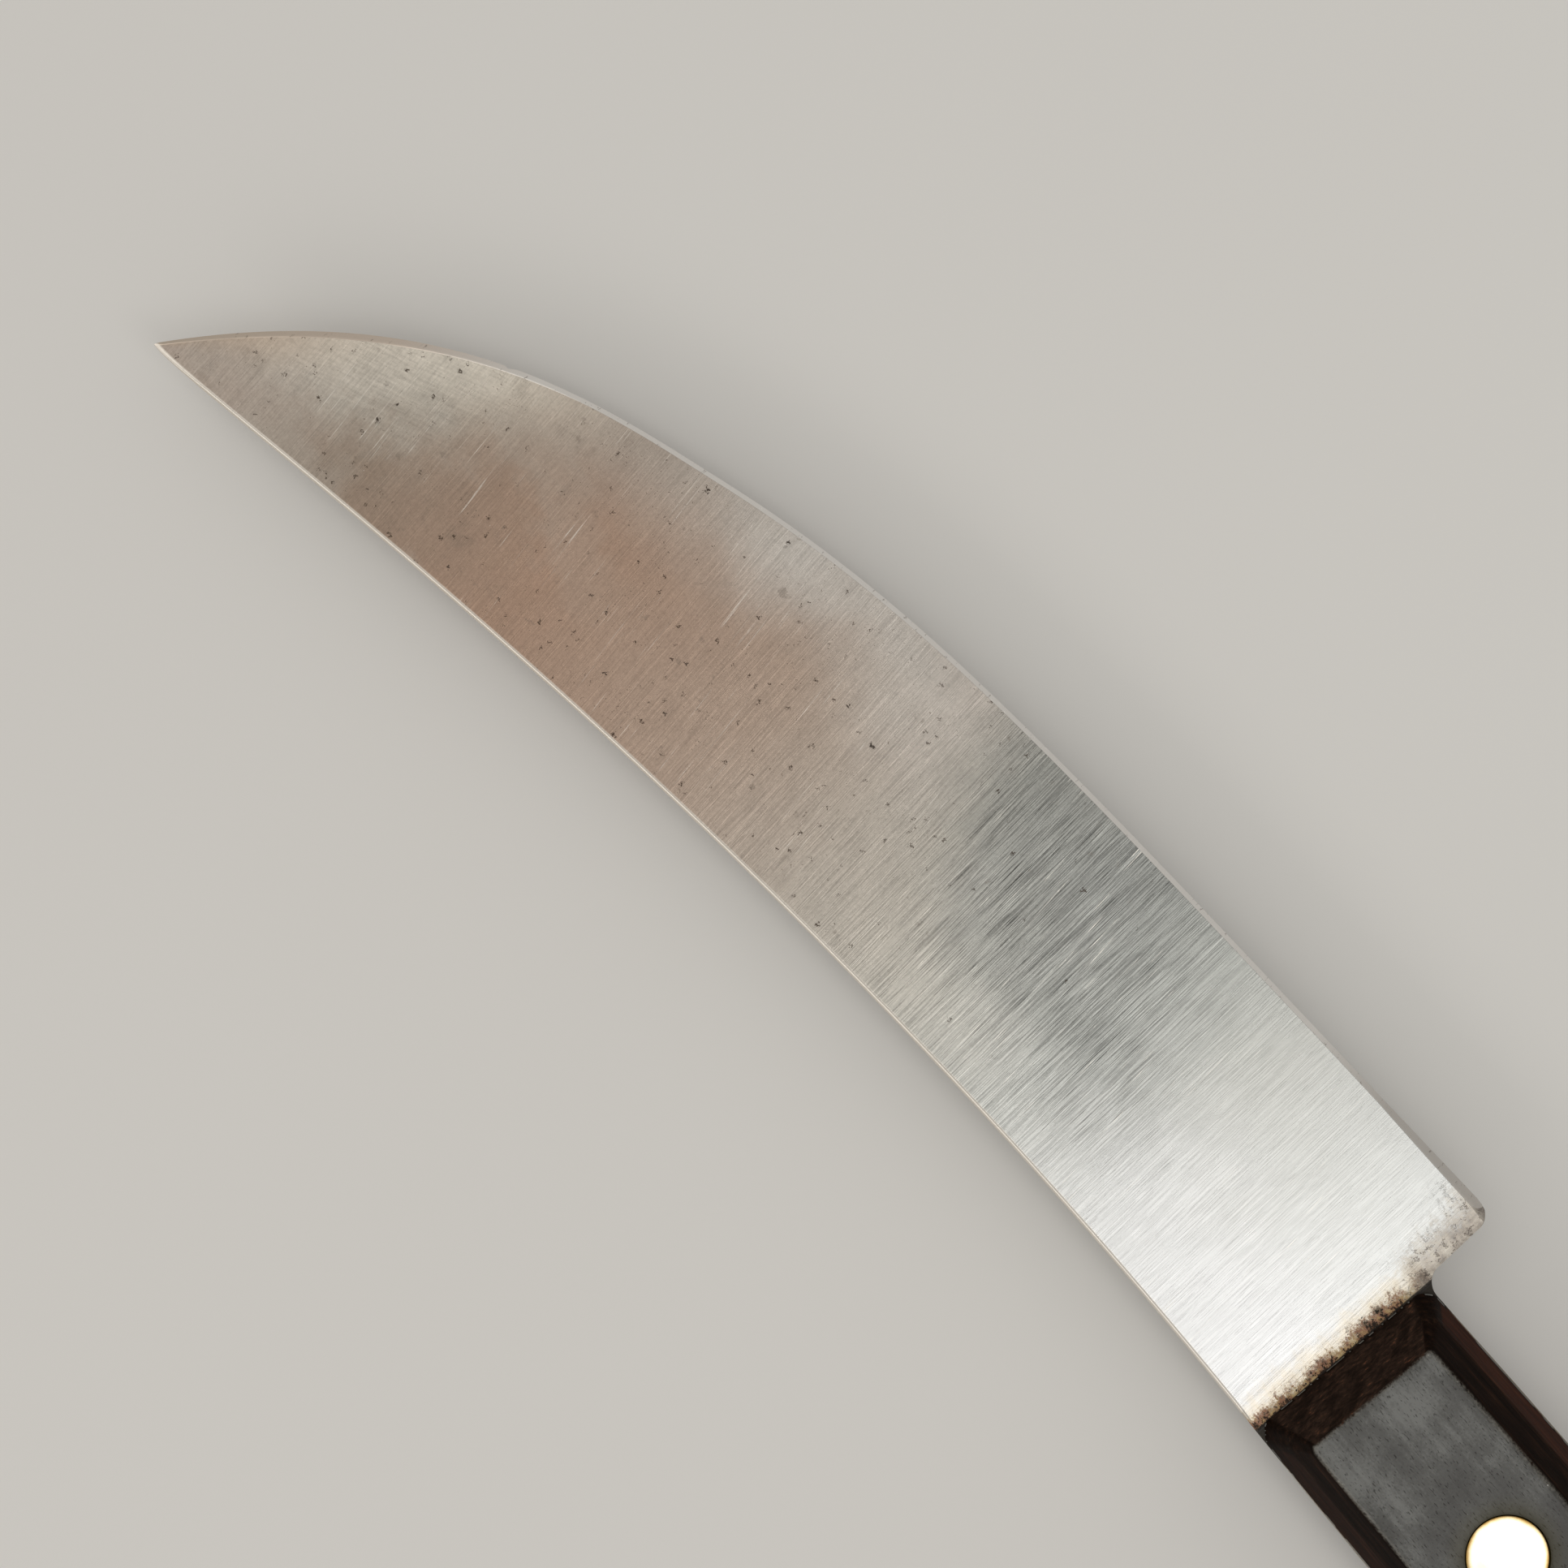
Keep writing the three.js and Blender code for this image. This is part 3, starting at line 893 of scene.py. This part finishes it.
def grinding(width, length, seed, detail=2):
    """Grinding marks as noise that is drawn out across the blade; sizes in millimetres."""
    return steel.cloud((lean / width, up_y / length, side_seed + seed), 1, detail, 0.6)


def on_face(seed, scale, detail, roughness):
    """Noise that is alike in every direction, laid on the face."""
    return steel.cloud((along_x, up_y, side_seed + seed), scale, detail, roughness)


broad_marks = grinding(0.7, 16, 0)
fine_marks = grinding(0.2, 10, 2).step(0.36, 0.64)
hair_marks = grinding(0.1, 6, 5, 1).step(0.38, 0.62)
bright_lines = grinding(0.1, 13, 7, 1).step(0.63, 0.67)
dark_lines = grinding(0.1, 8, 11, 1).step(0.63, 0.67)
stray = steel.cloud((lean * 7 + up_y * 0.4, up_y * 0.07, side_seed + 4), 1, 1, 0.4)
bright_strays = stray.step(0.715, 0.745)
mottle = on_face(0, 0.35, 5, 0.6)
blotch = steel.cloud((along_x, up_y * 1.3, side_seed), 0.09, 3, 0.5)
speckle = on_face(2, 2.6, 3, 0.7)
flecks = on_face(14, 3.4, 3, 0.7)
print("grinding marks written")

# %% Steel: stain and painted reflection along and across the blade
# Partly stain, partly painted reflection: the tones are nearly white near the wood, as if the steel
# mirrored the soft box there, and the warm grey-brown of the tip half is partly a painted warm reflection.
SPINE_STAIN_AND_REFLECTION = [
    (0.0, 210, 210, 210), (0.17, 195, 195, 193), (0.27, 174, 174, 169),
    (0.36, 177, 173, 164), (0.46, 174, 165, 154), (0.56, 168, 149, 134),
    (0.72, 159, 133, 115), (0.86, 139, 124, 110), (0.93, 159, 147, 136),
    (1.0, 162, 149, 138),
]
EDGE_STAIN_AND_REFLECTION = [
    (0.0, 206, 207, 205), (0.17, 181, 181, 176), (0.25, 165, 166, 161),
    (0.33, 147, 147, 143), (0.42, 153, 150, 142), (0.48, 186, 178, 169),
    (0.62, 191, 185, 177), (0.74, 161, 149, 138), (0.84, 192, 182, 168),
    (1.0, 168, 149, 132),
]
PATCH_START = (22, 42)
PATCH_END = (54, 64)
CLOUDED = (108, 150)
PAINTED_SHOULDER_HIGHLIGHT = (125, 141)
reach = along_x / TIP[0] + (blotch - 0.5) * 0.03
across = from_spine / (from_spine + from_edge)
spine_stain_and_reflection = steel.ramp(reach, SPINE_STAIN_AND_REFLECTION)
edge_stain_and_reflection = steel.ramp(reach, EDGE_STAIN_AND_REFLECTION)
edgeward = 0.4 * along_x.step(60, 90)
toward_edge = (across + (blotch - 0.5) * 0.3 - edgeward).step(0.15, 0.85 - edgeward * 0.6)
steel.colour = steel.blend(toward_edge, spine_stain_and_reflection, edge_stain_and_reflection)
patch_edge = along_x + up_y * 0.5 + (mottle - 0.5) * 6
patch = patch_edge.step(*PATCH_START) * (1 - patch_edge.step(*PATCH_END))
patch = patch * (across + (blotch - 0.5) * 0.4).step(0.05, 0.42)
steel.lay(patch * 0.65, (133, 134, 130))
cloudy = along_x.band(*CLOUDED, 12)
steel.lay(cloudy * mottle.step(0.52, 0.7) * 0.35, (118, 104, 92))
steel.lay(cloudy * (1 - blotch.step(0.38, 0.55)) * 0.3, (172, 166, 156))
# Painted highlight: a pale band on the edge's half of the face near the point, where the rounded shoulder
# above the bevel would catch the light.
painted_shoulder_highlight = along_x.band(*PAINTED_SHOULDER_HIGHLIGHT, 7) * (across + (mottle - 0.5) * 0.5).step(0.15, 0.75)
steel.lay(painted_shoulder_highlight * 0.42, (200, 198, 188))
print("stain written")

# %% Steel: lay the marks over the stain and painted reflection
mark_depth = 0.08 + 0.3 * along_x.step(12, 34) + 0.42 * along_x.band(34, 62, 8)
mark_depth = mark_depth + 0.62 * patch - 0.12 * along_x.step(64, 82)
mark_depth = mark_depth * (0.75 + 0.5 * mottle.step(0.35, 0.65))
marks = (fine_marks - 0.5) * 0.1 + (hair_marks - 0.5) * 0.38 + (broad_marks - 0.5) * 0.15
marks = marks + bright_lines * 0.35 - dark_lines * 0.3
polish = steel.cloud((along_x * 0.25 + up_y * 0.1, up_y * 3.4 - along_x * 1.5, side_seed), 1, 3, 0.6)
polished = along_x.band(124, 140, 6) * across.step(0.3, 0.7)
grainy = along_x.step(10, 60)
roughness_of_tone = (mottle - 0.5) * 0.18 + ((speckle - 0.5) * 0.32 + (flecks - 0.5) * 0.42) * grainy
graining = marks * mark_depth + roughness_of_tone + (polish - 0.5) * polished * 0.6
steel.colour = steel.blend(1.0, steel.colour, steel.vector(*[1 + graining] * 3), "MULTIPLY")
scratch_light = bright_strays * (0.25 + 0.75 * mottle.step(0.45, 0.6)) * (0.35 + 0.5 * patch)
steel.lay(scratch_light, (236, 230, 220))
glints = steel.cloud((lean * 2.2, up_y * 1.1, side_seed + 8), 1, 3, 0.8).step(0.75, 0.78)
steel.lay(glints * 0.38, (244, 240, 232))


def pitting(density, smallest, largest, seed, crowd):
    """Round pits with shaken outlines. One cell in a few holds one; density is cells to the millimetre."""
    shaken = steel.vector(along_x + (speckle - 0.5) * 1.6, up_y + (flecks - 0.5) * 1.6, side_seed + seed)
    sockets = {"Vector": shaken, "Scale": density}
    nearness = steel.node("TexVoronoi", {}, sockets, "Distance") / density
    drawn_lot = steel.node("TexVoronoi", {}, sockets, "Color")
    split = steel.node("SeparateColor", {}, {"Color": drawn_lot}).output.node
    lot, size, _ = [Socket(steel, part) for part in split.outputs]
    radius = smallest + (largest - smallest) * size * size
    return (1 - (nearness / radius).step(0.6, 1.2)) * (lot + crowd).step(1.0, 1.04)


pitted_area = along_x.step(34, 80)
pits = pitting(0.45, 0.13, 0.28, 0, pitted_area * 0.3)
small_pits = pitting(1.1, 0.09, 0.19, 31, pitted_area * 0.45)
crowded = on_face(20, 0.22, 2, 0.5).step(0.5, 0.64)
pin_pricks = (flecks + crowded * 0.05).step(0.67, 0.71) * pitted_area
steel.lay(pin_pricks * 0.65, (88, 78, 68))
steel.lay(small_pits * 0.9, (66, 54, 44))
steel.lay(pits * 0.9, (62, 50, 40))
smudge = on_face(6, 0.55, 3, 0.6).step(0.66, 0.74)
steel.lay(smudge * 0.4 * along_x.band(50, 140, 10), (110, 100, 90))
print("pits written")

# %% Steel: rust along the wood and stains at the heel
from_wood = along_x - 0.32 - up_y * 0.016
crumble = steel.cloud((along_x * 1.1, up_y * 1.1, side_seed), 1.5, 6, 0.75)
grains = on_face(3, 3.4, 5, 0.8)
drift = steel.cloud((along_x * 0.5, up_y, side_seed + 12), 0.5, 3, 0.6)
along_wood = from_wood.step(-0.3, -0.1) * up_y.step(-12.6, -10.9)
reach_out = from_wood - 0.35 - (drift - 0.5) * 3
creep = (1 - (reach_out + (crumble - 0.5) * 3).step(0.6, 3.4)) * along_wood
ochre = (1 - (reach_out + (grains - 0.5) * 4).step(0.1, 1.2)) * along_wood
crust = (grains + crumble * 0.5 + (flecks - 0.5) * 0.5 - reach_out * 0.15).step(0.75, 0.8)
crust = crust * (1 - from_wood.step(1.6, 2.8)) * along_wood
steel.lay(creep * 0.6, (206, 190, 160))
steel.lay(ochre * 0.75, steel.ramp(crumble * 0.5 + drift * 0.5, [
    (0.4, 192, 162, 96), (0.47, 162, 114, 44), (0.53, 146, 74, 22), (0.6, 84, 58, 20),
]))
steel.lay(crust * 0.92, steel.ramp(flecks, [(0.4, 74, 48, 18), (0.55, 26, 19, 11)]))
fringe = ochre * 0.5 + crust * 0.5
heel_stain = (1 - (from_heel + (crumble - 0.5) * 7).step(0.6, 4.6)) * (1 - up_y.step(-11, -7))
steel.lay(heel_stain * 0.85, steel.ramp(drift * 0.5 + crumble * 0.5, [
    (0.38, 204, 196, 182), (0.52, 172, 161, 148), (0.64, 120, 108, 98),
]))
squiggle = on_face(9, 1.3, 5, 0.75)
near_heel = (1 - (from_heel + (drift - 0.5) * 9).step(0.5, 6)) * (1 - up_y.step(-10, -7))
squiggles = squiggle.band(0.57, 0.62, 0.02) * near_heel
steel.lay(squiggles * 0.8, (66, 58, 52))
on_tang = 1 - from_wood.step(-0.35, 0.02)
gap_shadow = from_wood.band(-0.3, 0.06, 0.06)
tang_tone = steel.ramp(blotch * 0.7 + crumble * 0.3, [
    (0.36, 124, 116, 102), (0.52, 146, 139, 126), (0.66, 162, 156, 145),
])
grimy = along_x.step(-4.6, -2.6)
tang_tone = steel.blend(grimy * 0.9, tang_tone, tone(30, 23, 16))
steel.lay(on_tang, tang_tone)
steel.lay(gap_shadow * 0.9, (22, 16, 11))
print("rust written")

# %% Steel: the sharpened bevel, a painted highlight along the back, and the final shader
bevel_widths = [(place / TIP[0], (width, width, width)) for place, width in zip(BEVEL_PLACES, BEVEL_WIDTHS)]
bevel_reach = steel.node("ValToRGB", {"stops": bevel_widths}, {"Fac": along_x / TIP[0]}, "Color")
bevel = (1 - from_edge.step(bevel_reach - 0.05, bevel_reach + 0.03)) * along_x.step(0.5, 0.8)
bevel_tone = steel.ramp(along_x / TIP[0], [
    (0.0, 202, 196, 188), (0.1, 206, 200, 192), (0.17, 246, 241, 234),
    (0.82, 248, 243, 236), (0.9, 222, 206, 190), (1.0, 212, 196, 178),
])
steel.lay(bevel * 0.9, bevel_tone)
chips = steel.cloud((along_x * 2.4, 0.0, side_seed), 1, 3, 0.7).step(0.62, 0.68)
steel.lay(bevel * chips * 0.5, (110, 98, 86))
# Painted highlight: a pale line along the rounded back, where the round would catch the light.
painted_back_highlight = (1 - from_spine.step(0.3, 0.55)) * (1 - on_tang)
steel.lay(painted_back_highlight * 0.85, (240, 232, 220))
dull = fringe * 0.5 + pits * 0.3 + heel_stain * 0.1 + on_tang * (0.08 + grimy * 0.3)
steel_height = marks * (1.5 + patch * 2) - (pits + small_pits) * 1.2 + (crumble - 0.5) * fringe * 1.5
worn_carbon_steel = steel.surface({
    "Base Color": steel.colour,
    "Metallic": 1 - fringe * 0.7 - pits * 0.4 - gap_shadow * 0.5 - on_tang * grimy * 0.5,
    "Roughness": 0.3 + dull + (mottle - 0.5) * 0.1 + (fine_marks - 0.5) * 0.03,
    "Normal": steel.bump(steel_height, 0.35, 0.02),
})

# %% Steel: put the piece in the scene
hand_over(steel_mesh, worn_carbon_steel, "blade_steel", "blade_and_tang")

# %% [markdown]
# ## The wood's finish
#
# The scales are a dense tropical wood, nearly black from years of grease. The flat top is
# polished by the palm. Its cool grey is partly that polish and partly painted sheen, painted
# brighter towards the front and near the rim, with fine dark pores along the grain. The chamfers
# hold dirt and stay black, the side faces show the red of the wood, with painted shade that makes
# the spine's side nearly as dark as the chamfers, and the sawn front is rough brown end grain. The
# real sheen is a coat that only lies on the polished flat. Corners are worn paler, and a few pale
# flecks are stuck in the surface.

# %% Wood: grain and zones
wood = Finish("greased_dark_wood")
grain_x, grain_y, grain_z = wood.parts("drawn")
rim_place, front_place, rivet_place = wood.parts("wood_place")
in_wood = wood.vector(grain_x, grain_y, grain_z)
uneven_rim = rim_place + (wood.cloud(in_wood, 2.2, 3, 0.6) - 0.5) * 0.5
on_flat = uneven_rim.step(-0.12, 0.2)
on_front = front_place.step(0.55, 0.95) * (1 - on_flat)
on_side = (1 - rim_place.step(-4.6, -3.9)) * (1 - front_place.step(0.02, 0.4))
grain_seed = wood.vector(grain_x * 0.16, grain_y * 1.9, grain_z * 1.9)
long_grain = wood.cloud(grain_seed, 1, 5, 0.6)
pores = wood.cloud((grain_x * 1.7, grain_y * 7, grain_z * 7), 1, 2, 0.5)
open_pores = pores.step(0.6, 0.68)
haze = wood.cloud(in_wood, 0.16, 4, 0.55)
grit = wood.cloud(in_wood, 3.5, 4, 0.7)
print("grain written")

# %% Wood: colours of the zones, with painted sheen and painted shade
# Painted sheen: the flat is painted brighter towards the front and near the rim, and its grey is partly the
# worn polish and partly painted sheen.
painted_sheen_to_front = grain_x.step(-20, -4)
painted_sheen_near_rim = 1 - rim_place.step(0.2, 5)
cloudiness_and_sheen = haze * 0.75 + (long_grain - 0.5) * 0.3 + (grit - 0.5) * 0.25 + 0.055
cloudiness_and_sheen = cloudiness_and_sheen + painted_sheen_to_front * 0.13 + painted_sheen_near_rim * 0.04
flat_tone_and_sheen = wood.ramp(cloudiness_and_sheen, [
    (0.38, 62, 60, 56), (0.52, 80, 79, 75), (0.66, 110, 110, 106),
])
flat_tone_and_sheen = wood.blend(open_pores * 0.6, flat_tone_and_sheen, tone(34, 32, 29))
chamfer_tone = wood.ramp(long_grain, [(0.35, 14, 8, 5), (0.55, 25, 15, 10), (0.75, 46, 29, 19)])
side_tone = wood.ramp(long_grain + (grit - 0.5) * 0.2, [
    (0.3, 34, 15, 8), (0.55, 56, 26, 13), (0.75, 76, 40, 22),
])
# Painted shade: the side face on the spine's side is painted nearly as dark as the chamfers.
spine_side_painted_shade = grain_y.step(-3, 3)
side_tone = wood.blend(spine_side_painted_shade * 0.7, side_tone, chamfer_tone)
ends = wood.cloud((grain_x * 2, grain_y * 0.8, grain_z * 2.4), 1, 6, 0.75)
smudged = wood.cloud((grain_x, grain_y * 0.5 - grain_z * 0.4, grain_z * 0.3), 0.9, 3, 0.6)
end_tone = wood.ramp(ends, [
    (0.28, 20, 15, 12), (0.46, 42, 31, 25), (0.6, 62, 46, 37), (0.7, 122, 78, 56),
])
end_tone = wood.blend(smudged.step(0.46, 0.6) * 0.6, end_tone, tone(24, 17, 13))
wood.colour = wood.blend(on_side * 0.9, chamfer_tone, side_tone)
streaks = wood.cloud((grain_x * 0.3, grain_y * 5, grain_z * 5), 1, 4, 0.7)
ridge_wear = rim_place.band(-4.9, -3.7, 0.5) * streaks.step(0.48, 0.66)
wood.lay(ridge_wear * 0.35, (72, 50, 36))
wood.lay(on_front, end_tone)
wood.lay(on_flat, flat_tone_and_sheen)
corner = 1 - wood.node("Math", {"operation": "ABSOLUTE"}, {0: rim_place}).step(0.05, 0.5)
worn_corner = corner * (grit * 0.7 + haze * 0.4).step(0.42, 0.66)
wood.lay(worn_corner * 0.55, (126, 122, 113))
chips_of_wood = wood.cloud((grain_x, grain_y, grain_z + 4), 1.1, 4, 0.7)
chipped = (chips_of_wood + corner * 0.08).step(0.72, 0.76)
wood.lay(chipped * on_flat, (196, 195, 190))
ring_of_dirt = 1 - rivet_place.step(BORE, BORE + 0.35)
wood.lay(ring_of_dirt * 0.85, (22, 18, 12))
brass_stain = (1 - rivet_place.step(BORE + 0.2, BORE + 2.4)) * on_flat
wood.lay(brass_stain * 0.3, (84, 78, 44))
print("wood colours written")

# %% Wood: shader
wood_height = (long_grain - 0.5) * 0.6 - open_pores * 0.5 + (ends - 0.5) * on_front * 4 + (grit - 0.5) * 0.5
greased_dark_wood = wood.surface({
    "Base Color": wood.colour,
    "Roughness": 0.55 + on_front * 0.25 + (grit - 0.5) * 0.2 - on_flat * 0.08,
    "Specular IOR Level": 0.03,
    "Coat Weight": on_flat * (0.8 - open_pores * 0.5),
    "Coat Roughness": 0.36,
    "Normal": wood.bump(wood_height, 0.4, 0.06),
})
for mesh, node in ((upper_mesh, "upper_scale"), (lower_mesh, "lower_scale")):
    hand_over(mesh, greased_dark_wood, "handle_wood", node)

# %% [markdown]
# ## The rivets' finish
#
# The heads are brass, buffed pale. Buffing leaves fine scratches in many directions, and
# handling leaves a film that is yellower at the rim, where the cloth does not reach. Rings
# of turning marks would be wrong here, because the heads are ground flush after riveting.
# So two thin layers of lines cross each other in the bump.

# %% Brass
brass = Finish("buffed_brass")
brass_x, brass_y, brass_z = brass.parts("drawn")
buff_one = brass.cloud((brass_x * 9 + brass_y * 3, brass_y * 0.6, brass_z), 1, 2, 0.6)
buff_two = brass.cloud((brass_x * 0.5, brass_y * 8 - brass_x * 2, brass_z), 1, 2, 0.6)
film = brass.cloud((brass_x, brass_y, brass_z), 0.5, 3, 0.6)
offsets = []
for x in RIVETS.values():
    squared = (brass_x - x) * (brass_x - x) + (brass_y - RIVET_LINE) * (brass_y - RIVET_LINE)
    offsets.append(squared ** 0.5)
nearest = offsets[0].least(offsets[1]).least(offsets[2])
at_rim = nearest.step(HEAD_RADIUS - 0.6, HEAD_RADIUS)
brass_tone = brass.ramp(film * 0.6 + at_rim * 0.5, [
    (0.2, 252, 244, 220), (0.45, 248, 232, 194), (0.8, 200, 162, 92),
])
buffed_brass = brass.surface({
    "Base Color": brass_tone,
    "Metallic": 1.0,
    "Roughness": 0.24 + (film - 0.5) * 0.12 + at_rim * 0.12,
    "Normal": brass.bump(buff_one + buff_two, 0.2, 0.01),
})
for place, (post_half, sleeve_half) in rivet_meshes.items():
    hand_over(post_half, buffed_brass, "rivet_brass", f"{place}_rivet_male")
    hand_over(sleeve_half, buffed_brass, "rivet_brass", f"{place}_rivet_female")

# %% [markdown]
# ## Floor
#
# The knife lies on a plain pale floor. It is a large sheet with a faint unevenness in its
# tone, which is enough to catch soft shadows, and it is staged, so it is not part of the knife.

# %% Floor
FLOOR_HALF = 12.0
FLOOR_SQUARES = 12
bm = bmesh.new()
bmesh.ops.create_grid(bm, x_segments=FLOOR_SQUARES, y_segments=FLOOR_SQUARES, size=FLOOR_HALF)
floor = in_scene("pale_floor", to_mesh(bm, "pale_floor"))
floor_finish = Finish("pale_floor_paint")
floor_place = floor_finish.node("TexCoord", {}, {}, "Object")
floor_cloud = floor_finish.cloud(floor_place, 3, 4, 0.5)
floor_tone = floor_finish.ramp(floor_cloud, [(0.3, 230, 227, 222), (0.7, 234, 232, 227)])
floor.data.materials.append(floor_finish.surface({"Base Color": floor_tone, "Roughness": 0.7}))
floor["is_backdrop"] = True

# %% [markdown]
# ## Light
#
# Polished steel shows the room more than itself, so the lights are placed by what the blade
# reflects. A bright soft box stands on the handle's side: the blade near the wood and the rivet
# reflect it and go almost white. A wide dimmer box overhead fills the rest, a long strip on the
# spine's side draws a line along the rounded back, and a pale sky closes the room.

# %% Soft boxes
def soft_box(name, place, target, size, radiance, colour):
    """A rectangular light that faces a target. Radiance is how bright its face looks."""
    data = bpy.data.lights.new(name, "AREA")
    data.shape = "RECTANGLE"
    data.size, data.size_y = size
    data.energy = radiance * math.pi * size[0] * size[1]
    data.color = colour
    box = in_scene(name, data)
    box.location = place
    box.rotation_euler = (Vector(target) - Vector(place)).to_track_quat("-Z", "Y").to_euler()


middle = in_frame(60, 0, 0)
soft_box("handle_box", (-0.31, -0.06, 0.78), ORIGIN, (0.26, 0.55), 1.75, (1.0, 0.995, 0.98))
soft_box("overhead_box", (0.55, 0.1, 1.1), middle, (0.7, 0.9), 0.6, (1.0, 0.98, 0.95))
soft_box("spine_strip", (0.05, 0.8, 0.5), middle, (1.2, 0.25), 1.2, (1.0, 0.97, 0.93))
world = bpy.data.worlds.new("studio")
world.use_nodes = True
sky = world.node_tree.nodes["Background"]
sky.inputs["Color"].default_value = (1.0, 0.985, 0.96, 1)
sky.inputs["Strength"].default_value = 0.5
bpy.context.scene.world = world
bpy.context.scene.view_settings.view_transform = "Standard"
print("lights placed")

# %% [markdown]
# ## Camera
#
# The camera looks straight down from a quarter of a metre above the blade, turned so that the
# blade runs from the lower right to the upper left. Its lens is a short telephoto.

# %% Camera
CAMERA_HEIGHT = 255
LENS = 60
SENSOR = 36
LOOKED_AT = (77.9, 4.2)
right = Vector((-0.658, -0.753, 0)).normalized()
up = Vector((0.753, -0.658, 0)).normalized()
camera_data = bpy.data.cameras.new("camera")
camera_data.lens = LENS
camera_data.sensor_width = SENSOR
camera_data.clip_start = 0.01
camera = in_scene("camera", camera_data)
facing = Matrix((right, up, Vector((0, 0, 1)))).transposed().to_4x4()
camera.matrix_world = Matrix.Translation(in_frame(*LOOKED_AT, CAMERA_HEIGHT)) @ facing
bpy.context.scene.camera = camera

# %% [markdown]
# ## Size
#
# The finished knife must fill the same box as the CAD model, so the knife's box is printed.

# %% Print the knife's box
low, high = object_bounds()
print("visual box in millimetres:", [round(side * 1000, 2) for side in high - low])
